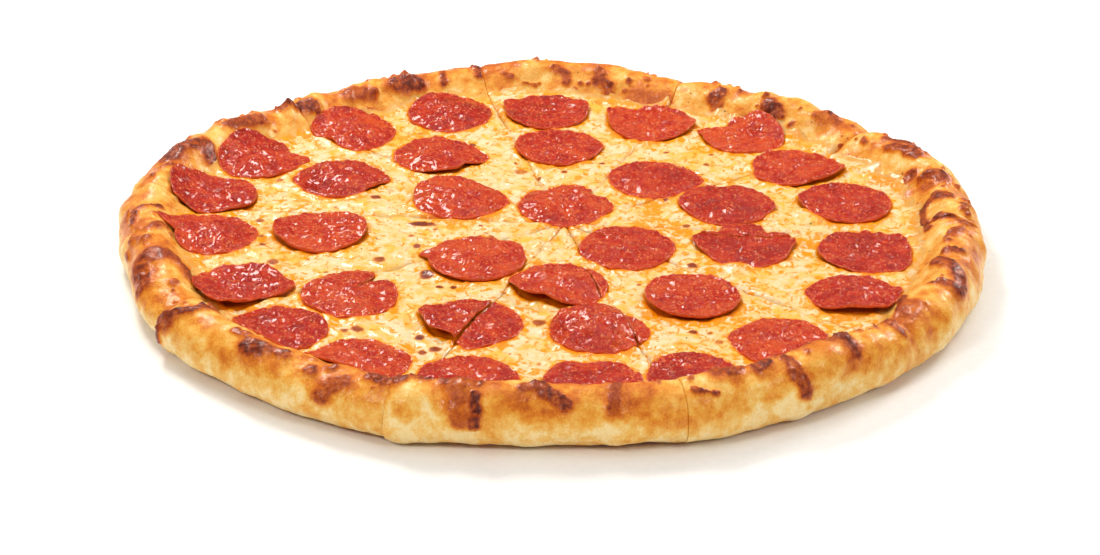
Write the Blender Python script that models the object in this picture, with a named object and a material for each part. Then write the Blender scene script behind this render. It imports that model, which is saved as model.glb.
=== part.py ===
"""Round hand-tossed pepperoni pizza, cut with a wheel into ten slices that still lie together.

Each slice is a wedge of crust with its raised rim and a wedge of melted cheese that lies in it.
The pepperoni discs lie on the cheese, and those near the edge lean on the rim's inner slope.
Metres, +Z up. The origin is the centre of the outline, on the surface that the pizza lies on.
Bearings are degrees anticlockwise from +X, and reaches are taken from where the cuts cross.
"""

from dataclasses import dataclass
from math import atan2, cos, degrees, hypot, pi, radians, sin

import bmesh
import bpy

# Driving dimensions of the pizza
MEAN_RADIUS = 0.178
SLICES = 10
FIRST_CUT_DEG = -3.0
CUT_GAP = 0.0004

# The outer edge's reach as shares of the mean radius, and the crest's height, uneven as dough is:
# one value at each cut and one in the middle of each slice, anticlockwise from the first cut
REACH_AT_CUT = (0.998, 0.966, 0.910, 0.957, 0.988, 1.068, 1.066, 1.035, 1.001, 0.999)
REACH_IN_SLICE = (1.008, 0.925, 0.938, 0.946, 1.045, 1.052, 1.050, 0.995, 0.992, 1.002)
CREST_AT_CUT = (0.0200, 0.0196, 0.0192, 0.0196, 0.0194, 0.0198, 0.0198, 0.0218, 0.0222, 0.0218)
CREST_IN_SLICE = (0.0216, 0.0208, 0.0210, 0.0208, 0.0206, 0.0212, 0.0216, 0.0234, 0.0240, 0.0228)

# The rim's section, measured inwards from the outer edge and up from the base
RIM_WIDTH = 0.031
RIM_CREST_IN = 0.0125
RIM_WIDEST_HEIGHT = 0.0085
RIM_UNDERSIDE_IN = 0.0130

# The base under the cheese, the cheese, and the gap that keeps touching pieces apart
DOUGH_THICKNESS = 0.0060
CHEESE_TOP = 0.0098
CHEESE_WAVES = ((61.0, 24.0, 0.00040), (-38.0, 57.0, 0.00035), (97.0, -71.0, 0.00025))
REST_GAP = 0.0003

# The pepperoni
PEPPERONI_DIAMETER = 0.0385
PEPPERONI_THICKNESS = 0.0021
PEPPERONI_CLEARANCE = 0.0006
DRAPE_STEP = 0.0010

# Fineness of the faceted solids
BEARINGS_PER_SLICE = 10
UNDERSIDE_STEPS = 3
OUTER_STEPS = 4
INNER_STEPS = 4
CHEESE_RINGS = 5
DISC_SIDES = 18
SHARP_ANGLE_DEG = 50.0

# Colours of the plain finishes, linear
CRUST_COLOUR = (0.62, 0.33, 0.10)
CHEESE_COLOUR = (0.86, 0.66, 0.34)
PEPPERONI_COLOUR = (0.52, 0.06, 0.03)


@dataclass(frozen=True)
class Topping:
    """One pepperoni disc: where its middle lies, and how it curled in the oven.

    A positive dome lifts the middle and a negative one lifts the edge into a cup. The saddle lifts
    two opposite sides, on the line through the middle at saddle_deg.
    """

    bearing_deg: float
    reach: float
    dome: float = 0.0010
    saddle: float = 0.0
    saddle_deg: float = 0.0
    size: float = 1.0


TOPPINGS = (
    Topping(137.0, 0.1345, dome=0.0010, size=1.03),
    Topping(115.5, 0.1270),
    Topping(94.5, 0.1195, dome=-0.0008),
    Topping(92.5, 0.0785, dome=-0.0006),
    Topping(70.0, 0.1155, saddle=0.0010, saddle_deg=40.0),
    Topping(49.0, 0.1250, dome=0.0020, saddle=0.0018, saddle_deg=70.0, size=0.97),
    Topping(30.5, 0.1205, saddle=0.0016, saddle_deg=100.0),
    Topping(157.0, 0.1495, saddle=0.0012, saddle_deg=20.0),
    Topping(172.5, 0.1550, saddle=0.0014, saddle_deg=80.0),
    Topping(158.0, 0.1070, dome=0.0018),
    Topping(131.0, 0.0880, dome=0.0012, saddle=0.0012, saddle_deg=60.0),
    Topping(155.5, 0.0510, dome=0.0030, saddle=0.0010, saddle_deg=0.0, size=1.02),
    Topping(93.0, 0.0170, dome=0.0006, size=1.02),
    Topping(49.0, 0.0600, dome=0.0010, size=1.02),
    Topping(16.0, 0.0730, saddle=0.0012, saddle_deg=0.0, size=1.03),
    Topping(11.0, 0.1250, dome=-0.0010, size=1.02),
    Topping(187.5, 0.1510, dome=0.0010, saddle=0.0012, saddle_deg=140.0),
    Topping(187.5, 0.1045, saddle=0.0014, saddle_deg=80.0, size=1.02),
    Topping(225.5, 0.0520, dome=0.0012, saddle=0.0012, saddle_deg=20.0, size=1.06),
    Topping(318.0, 0.0350, dome=0.0006, size=1.05),
    Topping(345.0, 0.0780, saddle=0.0014, saddle_deg=0.0, size=1.04),
    Topping(349.5, 0.1280, saddle=0.0012, saddle_deg=30.0),
    Topping(207.5, 0.1480, saddle=0.0016, saddle_deg=60.0),
    Topping(219.5, 0.1125, dome=0.0010),
    Topping(268.5, 0.0595, dome=0.0014, saddle=0.0014, saddle_deg=120.0, size=0.99),
    Topping(307.0, 0.0855, dome=-0.0012),
    Topping(331.5, 0.1335, dome=0.0012, saddle=0.0016, saddle_deg=90.0, size=0.96),
    Topping(222.5, 0.1510, dome=0.0010, size=0.97),
    Topping(249.0, 0.1000, dome=0.0008, size=1.02),
    Topping(277.5, 0.0985, dome=0.0034, size=0.97),
    Topping(309.0, 0.1350, dome=0.0008),
    Topping(238.5, 0.1510, dome=0.0008, size=1.01),
    Topping(255.5, 0.1450, dome=0.0010),
    Topping(274.5, 0.1415, dome=0.0008, size=0.98),
    Topping(290.5, 0.1420, dome=0.0006, size=0.92),
)


def smooth_step(share):
    """0 below 0, 1 above 1, and an even S between them."""
    share = min(1.0, max(0.0, share))
    return share * share * (3.0 - 2.0 * share)


def around(values, bearing):
    """The smooth closed curve through values that are spaced evenly round from the first cut."""
    place = (bearing - FIRST_CUT_DEG) / 360.0 * len(values)
    first = int(place // 1)
    share = place - first
    before, here, after, beyond = (values[(first + k) % len(values)] for k in (-1, 0, 1, 2))
    slope_here = (after - before) / 2.0
    slope_after = (beyond - here) / 2.0
    cube, square = share**3, share**2
    return (
        (2 * cube - 3 * square + 1) * here
        + (cube - 2 * square + share) * slope_here
        + (3 * square - 2 * cube) * after
        + (cube - square) * slope_after
    )


def taken_in_turn(at_cuts, in_slices):
    """The values at the cuts and in the slices, in their order round the pizza."""
    return tuple(value for pair in zip(at_cuts, in_slices) for value in pair)


REACHES = taken_in_turn(REACH_AT_CUT, REACH_IN_SLICE)
CRESTS = taken_in_turn(CREST_AT_CUT, CREST_IN_SLICE)


def polar(bearing, reach):
    """x and y at a bearing in degrees and a reach."""
    return reach * cos(radians(bearing)), reach * sin(radians(bearing))


def outer_reach(bearing):
    """The reach of the outer edge at a bearing."""
    return MEAN_RADIUS * around(REACHES, bearing)


def cheese_height(x, y):
    """Height of the cheese's lumpy top, measured from the crossing of the cuts."""
    return CHEESE_TOP + sum(size * sin(fx * x + fy * y + fx) for fx, fy, size in CHEESE_WAVES)


def rim_height(inwards, bearing):
    """Height of the rim's inner slope at a distance in from the outer edge."""
    share = (inwards - RIM_CREST_IN) / (RIM_WIDTH - RIM_CREST_IN)
    return CHEESE_TOP + (around(CRESTS, bearing) - CHEESE_TOP) * (1.0 - smooth_step(share))


def top_height(bearing, reach):
    """Height of whatever shows on top at a point: cheese, or the rim beyond it."""
    height = cheese_height(*polar(bearing, reach))
    inwards = outer_reach(bearing) - reach
    if inwards >= RIM_WIDTH:
        return height
    return max(height, rim_height(inwards, bearing))


def laid_reach(bearing, reach):
    """The reach of a point of something limp, drawn back by the slope that it lies on."""
    here = min(reach, outer_reach(bearing) - RIM_WIDTH)
    left = reach - here
    while left > 0.0:
        step = min(left, DRAPE_STEP)
        rise = top_height(bearing, here + step) - top_height(bearing, here)
        here += step * step / hypot(step, rise)
        left -= step
    return here


def centre_of_outline():
    """The middle of the outer edge's extents, which the origin stands at."""
    bearings = [bearing for index in range(SLICES) for bearing in slice_bearings(index)]
    points = [polar(bearing, outer_reach(bearing)) for bearing in bearings]
    middles = [(min(line) + max(line)) / 2.0 for line in zip(*points)]
    return middles[0], middles[1]


def slice_bearings(index):
    """The bearings of one slice's grid, from one cut to the next."""
    wide = 360.0 / SLICES
    start = FIRST_CUT_DEG + wide * index
    return [start + wide * step / BEARINGS_PER_SLICE for step in range(BEARINGS_PER_SLICE + 1)]


def rim_rows(bearing):
    """(distance in, height) pairs along the rim's section, from the base round to the cheese."""
    rows = []
    for step in range(UNDERSIDE_STEPS):
        angle = pi / 2.0 * step / UNDERSIDE_STEPS
        rows.append((RIM_UNDERSIDE_IN * (1.0 - sin(angle)), RIM_WIDEST_HEIGHT * (1.0 - cos(angle))))
    over_widest = around(CRESTS, bearing) - RIM_WIDEST_HEIGHT
    for step in range(OUTER_STEPS + 1):
        angle = pi / 2.0 * step / OUTER_STEPS
        rows.append((RIM_CREST_IN * (1.0 - cos(angle)), RIM_WIDEST_HEIGHT + over_widest * sin(angle)))
    for step in range(1, INNER_STEPS + 1):
        inwards = RIM_CREST_IN + (RIM_WIDTH - RIM_CREST_IN) * step / INNER_STEPS
        rows.append((inwards, rim_height(inwards, bearing)))
    rows.append((RIM_WIDTH, DOUGH_THICKNESS))
    return rows


def add_object(name, form, material):
    """An object made of a bmesh, shaded smooth but sharp at its cut edges."""
    mesh = bpy.data.meshes.new(name)
    form.to_mesh(mesh)
    form.free()
    mesh.materials.append(material)
    mesh.shade_smooth()
    mesh.set_sharp_from_angle(angle=radians(SHARP_ANGLE_DEG))
    thing = bpy.data.objects.new(name, mesh)
    bpy.context.scene.collection.objects.link(thing)
    return thing


def wedge(name, sections, bottom, top, material):
    """A closed wedge from equal sections of points, whose first and last points meet at the tip."""
    form = bmesh.new()
    low = form.verts.new((0.0, 0.0, bottom))
    high = form.verts.new((0.0, 0.0, top))
    grid = [[form.verts.new(point) for point in section] for section in sections]
    for here, beyond in zip(grid, grid[1:]):
        form.faces.new((low, beyond[0], here[0]))
        for row in range(len(here) - 1):
            form.faces.new((here[row], beyond[row], beyond[row + 1], here[row + 1]))
        form.faces.new((high, here[-1], beyond[-1]))
    form.faces.new([low, *grid[0], high])
    form.faces.new([high, *reversed(grid[-1]), low])
    bmesh.ops.recalc_face_normals(form, faces=form.faces)
    return add_object(name, form, material)


def crust_slice(index, material):
    """One slice's crust: its base, its raised rim and the step that the cheese lies against."""
    sections = []
    for bearing in slice_bearings(index):
        edge = outer_reach(bearing)
        rows = rim_rows(bearing)
        rows.append(((edge + RIM_WIDTH) / 2.0, DOUGH_THICKNESS))
        sections.append([(*polar(bearing, edge - inwards), height) for inwards, height in rows])
    return wedge(f"crust_slice_{index + 1:02d}", sections, 0.0, DOUGH_THICKNESS, material)


def cheese_slice(index, material):
    """One slice's cheese, a lumpy sheet that fills the crust up to its rim."""
    floor = DOUGH_THICKNESS + REST_GAP
    sections = []
    for bearing in slice_bearings(index):
        edge = outer_reach(bearing) - RIM_WIDTH - REST_GAP
        section = [(*polar(bearing, edge), floor)]
        for ring in range(CHEESE_RINGS):
            x, y = polar(bearing, edge * (1.0 - ring / CHEESE_RINGS))
            section.append((x, y, cheese_height(x, y)))
        sections.append(section)
    top = cheese_height(0.0, 0.0)
    return wedge(f"cheese_slice_{index + 1:02d}", sections, floor, top, material)


def curl_height(topping, share, turn):
    """How far a disc's own curl lifts it, at a share of its radius and a turn round it."""
    edge = share**2
    dome = topping.dome * (1.0 - edge) if topping.dome > 0.0 else -topping.dome * edge
    ripple = cos(turn - radians(topping.saddle_deg)) ** 2
    return dome + topping.saddle * edge * ripple


def disc_point(topping, share, turn):
    """The underside of a disc at a share of its radius and a turn round it."""
    centre_x, centre_y = polar(topping.bearing_deg, topping.reach)
    out = PEPPERONI_DIAMETER / 2.0 * topping.size * share
    x, y = centre_x + out * cos(turn), centre_y + out * sin(turn)
    bearing = degrees(atan2(y, x))
    reach = laid_reach(bearing, hypot(x, y))
    rest = top_height(bearing, reach) + PEPPERONI_CLEARANCE
    return (*polar(bearing, reach), rest + curl_height(topping, share, turn))


def pepperoni_disc(index, topping, material):
    """One disc of pepperoni: two faces of a hub, a ring and an edge, joined round the edge."""
    form = bmesh.new()
    turns = [2.0 * pi * side / DISC_SIDES for side in range(DISC_SIDES)]
    faces = []
    for raised in (0.0, PEPPERONI_THICKNESS):
        rings = []
        for share, around_ring in ((0.0, turns[:1]), (0.5, turns), (1.0, turns)):
            points = [disc_point(topping, share, turn) for turn in around_ring]
            rings.append([form.verts.new((x, y, z + raised)) for x, y, z in points])
        faces.append(rings)
    under, over = faces
    for side in range(DISC_SIDES):
        after = (side + 1) % DISC_SIDES
        for (hub,), ring, edge in (under, over):
            form.faces.new((hub, ring[side], ring[after]))
            form.faces.new((ring[side], edge[side], edge[after], ring[after]))
        form.faces.new((under[2][side], under[2][after], over[2][after], over[2][side]))
    bmesh.ops.recalc_face_normals(form, faces=form.faces)
    return add_object(f"pepperoni_{index + 1:02d}", form, material)


def food_material(name, colour, roughness):
    """A plain moist food surface."""
    material = bpy.data.materials.new(name)
    material.use_nodes = True
    shader = material.node_tree.nodes["Principled BSDF"]
    shader.inputs["Base Color"].default_value = (*colour, 1.0)
    shader.inputs["Roughness"].default_value = roughness
    shader.inputs["Metallic"].default_value = 0.0
    return material


def main():
    """Clears the scene and lays the pizza, slice by slice and then disc by disc."""
    for old in list(bpy.data.objects):
        bpy.data.objects.remove(old)
    crust = food_material("baked_crust", CRUST_COLOUR, roughness=0.45)
    cheese = food_material("melted_cheese", CHEESE_COLOUR, roughness=0.35)
    meat = food_material("pepperoni_meat", PEPPERONI_COLOUR, roughness=0.35)

    middle_x, middle_y = centre_of_outline()
    crossing = bpy.data.objects.new("crossing_of_the_cuts", None)
    crossing.location = (-middle_x, -middle_y, 0.0)
    bpy.context.scene.collection.objects.link(crossing)

    half_slice = 180.0 / SLICES
    apart = CUT_GAP / 2.0 / sin(radians(half_slice))
    for index in range(SLICES):
        away = polar(FIRST_CUT_DEG + half_slice * (2 * index + 1), apart)
        for thing in (crust_slice(index, crust), cheese_slice(index, cheese)):
            thing.parent = crossing
            thing.location = (*away, 0.0)
    for index, topping in enumerate(TOPPINGS):
        pepperoni_disc(index, topping, meat).parent = crossing


main()
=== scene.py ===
"""Looks of a round pepperoni pizza that is cut into ten slices and still lies together.

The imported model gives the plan: the outline, the crest of the rim, the cuts and where each disc of
pepperoni lies. The classes below lay a fine baked surface over it: the crust with its folds and
toasted blisters, the melted cheese with its bubbles, oil and seams, the curled pepperoni, and the
small things on top. Metres, +Z up. Bearings are radians anticlockwise from +X, taken at the point
where the cuts cross. RIM_MM is the reach, in millimetres, at which a bearing is measured as a
length along the rim.
"""

import logging
import math
from dataclasses import dataclass, field
from enum import Enum

import bmesh
import bpy
import numpy as np
from mathutils import Matrix, Vector


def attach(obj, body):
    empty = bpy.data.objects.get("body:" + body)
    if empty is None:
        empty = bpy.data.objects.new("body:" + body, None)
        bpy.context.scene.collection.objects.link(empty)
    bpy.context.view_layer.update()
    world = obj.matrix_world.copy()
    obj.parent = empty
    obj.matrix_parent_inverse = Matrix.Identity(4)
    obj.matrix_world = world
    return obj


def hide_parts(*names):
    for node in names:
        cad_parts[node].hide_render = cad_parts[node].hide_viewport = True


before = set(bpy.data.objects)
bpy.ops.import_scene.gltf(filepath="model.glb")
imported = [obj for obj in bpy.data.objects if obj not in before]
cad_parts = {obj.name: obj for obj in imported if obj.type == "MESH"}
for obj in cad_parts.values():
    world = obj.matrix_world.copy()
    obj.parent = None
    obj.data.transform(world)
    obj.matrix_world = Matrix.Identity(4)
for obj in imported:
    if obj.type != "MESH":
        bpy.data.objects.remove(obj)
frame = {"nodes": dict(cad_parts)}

log = logging.getLogger("pizza")

MM = 0.001
SLICES = 10
SLICE_TURN = math.tau / SLICES
RIM_MM = 165.0
SEED = 20

# Kinds and settings of nodes that the recipes repeat.
SPAN = "ShaderNodeMapRange"
ORIGINAL = {"transform_space": "ORIGINAL"}
ONE_FLOAT = {"data_type": "FLOAT"}


class Slot(Enum):
    """The record's material slots."""

    CRUST = "crust"
    CHEESE = "cheese"
    PEPPERONI = "pepperoni"


def linear(hex_colour: str) -> tuple[float, float, float, float]:
    """An opaque linear colour from an sRGB hex value.

    Args:
        hex_colour: Six hex digits after a hash sign.

    Returns:
        Red, green, blue and alpha.
    """
    channels = [int(hex_colour[at : at + 2], 16) / 255.0 for at in (1, 3, 5)]
    flat = [c / 12.92 if c <= 0.04045 else ((c + 0.055) / 1.055) ** 2.4 for c in channels]
    return (*flat, 1.0)


def set_ramp(node: bpy.types.Node, stops: tuple[tuple[float, str], ...]) -> None:
    """Fills a colour ramp.

    Args:
        node: The ramp.
        stops: Places along it with their sRGB hex colours, in order.
    """
    elements = node.color_ramp.elements
    while len(elements) < len(stops):
        elements.new(1.0)
    for element, (place, colour) in zip(elements, stops):
        element.position = place
        element.color = linear(colour)


def add_node(tree: bpy.types.NodeTree, kind: str, inputs: dict | None = None, **settings) -> bpy.types.Node:
    """Adds a node to a tree, with its settings, values and links.

    Args:
        tree: The shader or geometry tree.
        kind: The node's type name.
        inputs: What goes into each socket, by name or number: a value, a socket or a node, whose
            first open output is taken, or a list of them for a socket that takes several.
        **settings: The node's own properties.

    Returns:
        The new node.
    """
    node = tree.nodes.new(kind)
    for name, value in settings.items():
        setattr(node, name, value)
    for name, values in (inputs or {}).items():
        socket = node.inputs[name]
        for value in values if isinstance(values, list) else (values,):
            if isinstance(value, bpy.types.Node):
                value = next(out for out in value.outputs if out.enabled)
            if isinstance(value, bpy.types.NodeSocket):
                tree.links.new(value, socket)
            else:
                socket.default_value = value
    return node


def worked_out(tree: bpy.types.NodeTree, known: dict, value: object) -> object:
    """Turns a value of the recipes below into what add_node takes, with the nodes that it needs.

    Args:
        tree: The shader or geometry tree.
        known: Nodes and sockets by name.
        value: The name of something known, with a point and an output's name where that isn't the
            first; or a hex colour; or a sum, as its operation in capitals and its terms; or a node,
            as its kind, its inputs by name or in order, and its settings; or a list; or plain.

    Returns:
        A node, a socket or a plain value.
    """
    if isinstance(value, list):
        return [worked_out(tree, known, entry) for entry in value]
    if isinstance(value, str):
        if value.startswith("#"):
            return linear(value)
        name, _, out = value.partition(".")
        found = known.get(name, value)
        return found.outputs[out] if out else found
    if not isinstance(value, tuple) or not isinstance(value[0], str):
        return value
    kind, *rest = value
    inputs, settings = (*rest, {}, {})[:2]
    if kind.isupper():
        kind, inputs, settings = "ShaderNodeMath", tuple(rest), {"operation": kind}
    if isinstance(inputs, tuple):
        inputs = dict(enumerate(inputs))
    filled = {socket: worked_out(tree, known, entry) for socket, entry in inputs.items()}
    return add_node(tree, kind, filled, **settings)


def grown_tree(name: str, sockets: dict[str, str], steps: dict) -> bpy.types.NodeTree:
    """Builds a geometry tree that ends in Realize Instances and Set Material.

    Args:
        name: The tree's name.
        sockets: The kind of each of its inputs, by name. Finish is the material.
        steps: Its nodes by name, as worked_out takes them. The one named shape gives the mesh.

    Returns:
        The tree.
    """
    tree = bpy.data.node_groups.new(name, "GeometryNodeTree")
    for socket, kind in sockets.items():
        tree.interface.new_socket(socket, in_out="INPUT", socket_type=f"NodeSocket{kind}")
    tree.interface.new_socket("Geometry", in_out="OUTPUT", socket_type="NodeSocketGeometry")
    given = add_node(tree, "NodeGroupInput").outputs
    known = {socket: given[socket] for socket in sockets}
    for step, value in steps.items():
        known[step] = worked_out(tree, known, value)
    real = add_node(tree, "GeometryNodeRealizeInstances", {"Geometry": known["shape"]})
    soft = add_node(tree, "GeometryNodeSetShadeSmooth", {"Geometry": real})
    dressed = add_node(tree, "GeometryNodeSetMaterial", {"Geometry": soft, "Material": known["Finish"]})
    add_node(tree, "NodeGroupOutput", {"Geometry": dressed})
    return tree


def use_tree(thing: bpy.types.Object, tree: bpy.types.NodeTree, values: dict) -> None:
    """Puts a node tree on an object.

    Args:
        thing: The object.
        tree: The geometry tree.
        values: The tree's inputs by name.
    """
    modifier = thing.modifiers.new(tree.name, "NODES")
    modifier.node_group = tree
    for socket in tree.interface.items_tree:
        if socket.in_out == "INPUT" and socket.name in values:
            modifier[socket.identifier] = values[socket.name]


def make_plain(things: list[bpy.types.Object]) -> None:
    """Turns the result of each object's modifiers into its own plain mesh.

    Args:
        things: The objects, which lose their modifiers.
    """
    view = bpy.context.evaluated_depsgraph_get()
    view.update()
    for thing in things:
        mesh = bpy.data.meshes.new_from_object(thing.evaluated_get(view))
        thing.modifiers.clear()
        thing.data = mesh
        mesh.name = thing.name


def smooth(share: np.ndarray) -> np.ndarray:
    """0 below 0, 1 above 1, and an even S between them."""
    share = np.clip(share, 0.0, 1.0)
    return share * share * (3.0 - 2.0 * share)


def larger(a: np.ndarray, b: np.ndarray, softness: float) -> np.ndarray:
    """The larger of two heights, rounded where they cross."""
    return 0.5 * (a + b + np.sqrt((a - b) ** 2 + softness**2))


def turned(angle: np.ndarray) -> np.ndarray:
    """The same angle between minus and plus half a turn."""
    return (angle + math.pi) % math.tau - math.pi


class Lumps:
    """Seeded smooth noise of about -1 to 1 at any point in space."""

    def __init__(self, seed: int) -> None:
        """Shuffles the lattice from the seed.

        Args:
            seed: What the lattice is drawn from.
        """
        draw = np.random.default_rng(seed)
        self.order = np.tile(draw.permutation(256), 2)
        slopes = draw.normal(size=(256, 3))
        self.slopes = slopes / np.linalg.norm(slopes, axis=1, keepdims=True)

    def at(self, points: np.ndarray, size: float) -> np.ndarray:
        """The noise at some points.

        Args:
            points: Places, whose last axis is x, y and z.
            size: The width of one lump, in metres.

        Returns:
            One value for each point, in the points' own layout.
        """
        place = points.reshape(-1, 3) / size
        cell = np.floor(place).astype(int)
        inside = place - cell
        fade = inside**3 * (inside * (inside * 6.0 - 15.0) + 10.0)
        total = np.zeros(len(place))
        for corner in np.ndindex(2, 2, 2):
            x, y, z = ((cell + corner) & 255).T
            pick = self.order[self.order[self.order[x] + y] + z]
            dots = np.einsum("ij,ij->i", self.slopes[pick], inside - corner)
            total += dots * np.prod(np.where(corner, fade, 1.0 - fade), axis=1)
        return (1.6 * total).reshape(points.shape[:-1])

    def layered(self, points: np.ndarray, parts: tuple[tuple[float, float], ...]) -> np.ndarray:
        """A sum of noises.

        Args:
            points: Places, whose last axis is x, y and z.
            parts: The lumps' width in millimetres and their height, for each layer.

        Returns:
            One value for each point.
        """
        return sum(height * self.at(points + 3.0 * size * MM, size * MM) for size, height in parts)


def points_of(node: bpy.types.Object) -> np.ndarray:
    """The vertices of a node's mesh, one row each.

    Args:
        node: A mesh object of the frame.

    Returns:
        Its points, one row each.
    """
    flat = np.zeros(len(node.data.vertices) * 3, np.float32)
    node.data.vertices.foreach_get("co", flat)
    return flat.reshape(-1, 3).astype(float)


def through(values: np.ndarray, place: np.ndarray) -> np.ndarray:
    """The smooth closed curve through evenly spaced values.

    Args:
        values: One value for each step round.
        place: Where to read it, in steps.

    Returns:
        The curve's value at each place.
    """
    first = np.floor(place).astype(int)
    share = place - first
    before, here, after, beyond = (values[(first + k) % len(values)] for k in (-1, 0, 1, 2))
    cube, square = share**3, share**2
    return (
        (2 * cube - 3 * square + 1) * here
        + (cube - 2 * square + share) * (after - before) / 2.0
        + (3 * square - 2 * cube) * after
        + (cube - square) * (beyond - here) / 2.0
    )


@dataclass
class Outline:
    """The plan of the pizza, read from the frame's slices.

    Attributes:
        crossing: Where the cuts cross.
        first_cut: The bearing of the first cut.
        edges: The outer edge's reach, evenly spaced round from the first cut.
        crests: The height of the rim's crest at the same bearings.
        level: The mean height of the cheese.
    """

    crossing: np.ndarray
    first_cut: float
    edges: np.ndarray
    crests: np.ndarray
    level: float

    @classmethod
    def from_frame(cls, nodes: dict, steps: int = 100) -> "Outline":
        """Measures the frame's crust and cheese.

        Args:
            nodes: The frame's nodes by name.
            steps: The sections that the frame's rim has all round.

        Returns:
            The plan.
        """
        slices = [points_of(nodes[f"crust_slice_{n + 1:02d}"]) for n in range(SLICES)]
        tips = [points[np.argmin(np.hypot(points[:, 0], points[:, 1]))][:2] for points in slices]
        crossing = np.mean(tips, axis=0)
        edges, crests = np.zeros(steps), np.zeros(steps)
        first_cut = 0.0
        for number, (points, tip) in enumerate(zip(slices, tips)):
            x, y = points[:, 0] - tip[0], points[:, 1] - tip[1]
            reach, bearing = np.hypot(x, y), np.arctan2(y, x)
            far = reach > 0.5 * reach.max()
            if number == 0:
                first_cut = bearing[far].min()
            at = np.rint((bearing - first_cut) / math.tau * steps).astype(int) % steps
            np.maximum.at(edges, at[far], reach[far])
            np.maximum.at(crests, at[far], points[far, 2])
        sheets = [points_of(nodes[f"cheese_slice_{n + 1:02d}"])[:, 2] for n in range(SLICES)]
        heights = np.concatenate(sheets)
        level = float(heights[heights > heights.mean()].mean())
        return cls(crossing, float(first_cut), edges, crests, level)

    def _place(self, bearing: np.ndarray) -> np.ndarray:
        """A bearing in steps round from the first cut."""
        return (bearing - self.first_cut) / math.tau * len(self.edges)

    def edge(self, bearing: np.ndarray) -> np.ndarray:
        """The outer edge's reach at a bearing."""
        return through(self.edges, self._place(bearing))

    def crest(self, bearing: np.ndarray) -> np.ndarray:
        """The crest's height at a bearing."""
        return through(self.crests, self._place(bearing))

    def nearest_cut(self, bearing: np.ndarray) -> tuple[np.ndarray, np.ndarray]:
        """Which cut is nearest to a bearing, and how far round from it the bearing lies.

        Args:
            bearing: Bearings.

        Returns:
            The cut's number, and the angle past it.
        """
        turns = (bearing - self.first_cut) / SLICE_TURN
        number = np.rint(turns).astype(int)
        return number % SLICES, (turns - number) * SLICE_TURN

    def across_cut(self, number: int) -> np.ndarray:
        """The direction in plan that is square to a cut, on its anticlockwise side."""
        cut = self.first_cut + SLICE_TURN * number
        return np.array((-math.sin(cut), math.cos(cut)))

    def slice_bearings(self, number: int, columns: int) -> np.ndarray:
        """The bearings of one slice's columns, closer together beside its two cuts.

        Args:
            number: Which slice.
            columns: How many columns it has.

        Returns:
            One bearing for each column.
        """
        even = np.linspace(0.0, 1.0, columns)
        eased = even - 0.92 * np.sin(math.tau * even) / math.tau
        mixed = 0.45 * even + 0.55 * eased
        return self.first_cut + SLICE_TURN * (number + mixed)

    def placed(self, bearing: np.ndarray, reach: np.ndarray, height: np.ndarray) -> np.ndarray:
        """Points in the frame from bearings, reaches and heights.

        Args:
            bearing: Bearings.
            reach: Reaches from the crossing, in the same layout.
            height: Heights, in the same layout.

        Returns:
            The points, along the last axis.
        """
        x = self.crossing[0] + reach * np.cos(bearing)
        y = self.crossing[1] + reach * np.sin(bearing)
        return np.stack(np.broadcast_arrays(x, y, height), axis=-1)

    def tip(self, number: int, half_gap: float, height: float) -> np.ndarray:
        """The point where a slice's two sides meet, at a height.

        Args:
            number: Which slice.
            half_gap: How far each side stays from its cut.
            height: The point's height.

        Returns:
            The point.
        """
        middle = self.first_cut + SLICE_TURN * (number + 0.5)
        back = half_gap / math.sin(SLICE_TURN / 2.0)
        return self.placed(np.array(middle), np.array(back), np.array(height))

    def drawn_in(self, points: np.ndarray, number: int, half_gap: float, fade: float) -> np.ndarray:
        """Draws a slice's sides back from its cuts.

        Args:
            points: The slice's grid of points.
            number: Which slice.
            half_gap: How far each side stays from the cut.
            fade: How far into the slice the draw reaches.

        Returns:
            The moved points.
        """
        moved = points.copy()
        for turn, side in ((number, 1.0), (number + 1, -1.0)):
            across = side * self.across_cut(turn)
            away = (points[..., :2] - self.crossing) @ across
            push = half_gap * np.clip(1.0 - away / fade, 0.0, 1.0)
            moved[..., :2] += push[..., None] * across
        return moved


def mesh_object(name: str, vertices: np.ndarray, faces: list, layers: dict) -> bpy.types.Object:
    """A mesh object with float attributes on its vertices.

    Args:
        name: The piece's name.
        vertices: Its points.
        faces: Its faces, as lists of point numbers.
        layers: Attribute names with one value for each point.

    Returns:
        The linked object, shaded smooth.
    """
    mesh = bpy.data.meshes.new(name)
    mesh.from_pydata(vertices.tolist(), [], faces)
    for layer, values in layers.items():
        attribute = mesh.attributes.new(layer, "FLOAT", "POINT")
        attribute.data.foreach_set("value", np.asarray(values, np.float32).ravel())
    mesh.shade_smooth()
    thing = bpy.data.objects.new(name, mesh)
    bpy.context.scene.collection.objects.link(thing)
    return thing


def grid_faces(columns: int, rows: int) -> list:
    """The four-sided faces of a grid whose points are numbered row by row in each column."""
    corner = (np.arange(columns - 1)[:, None] * rows + np.arange(rows - 1)).ravel()
    return np.stack((corner, corner + rows, corner + rows + 1, corner + 1), axis=1).tolist()


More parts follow.
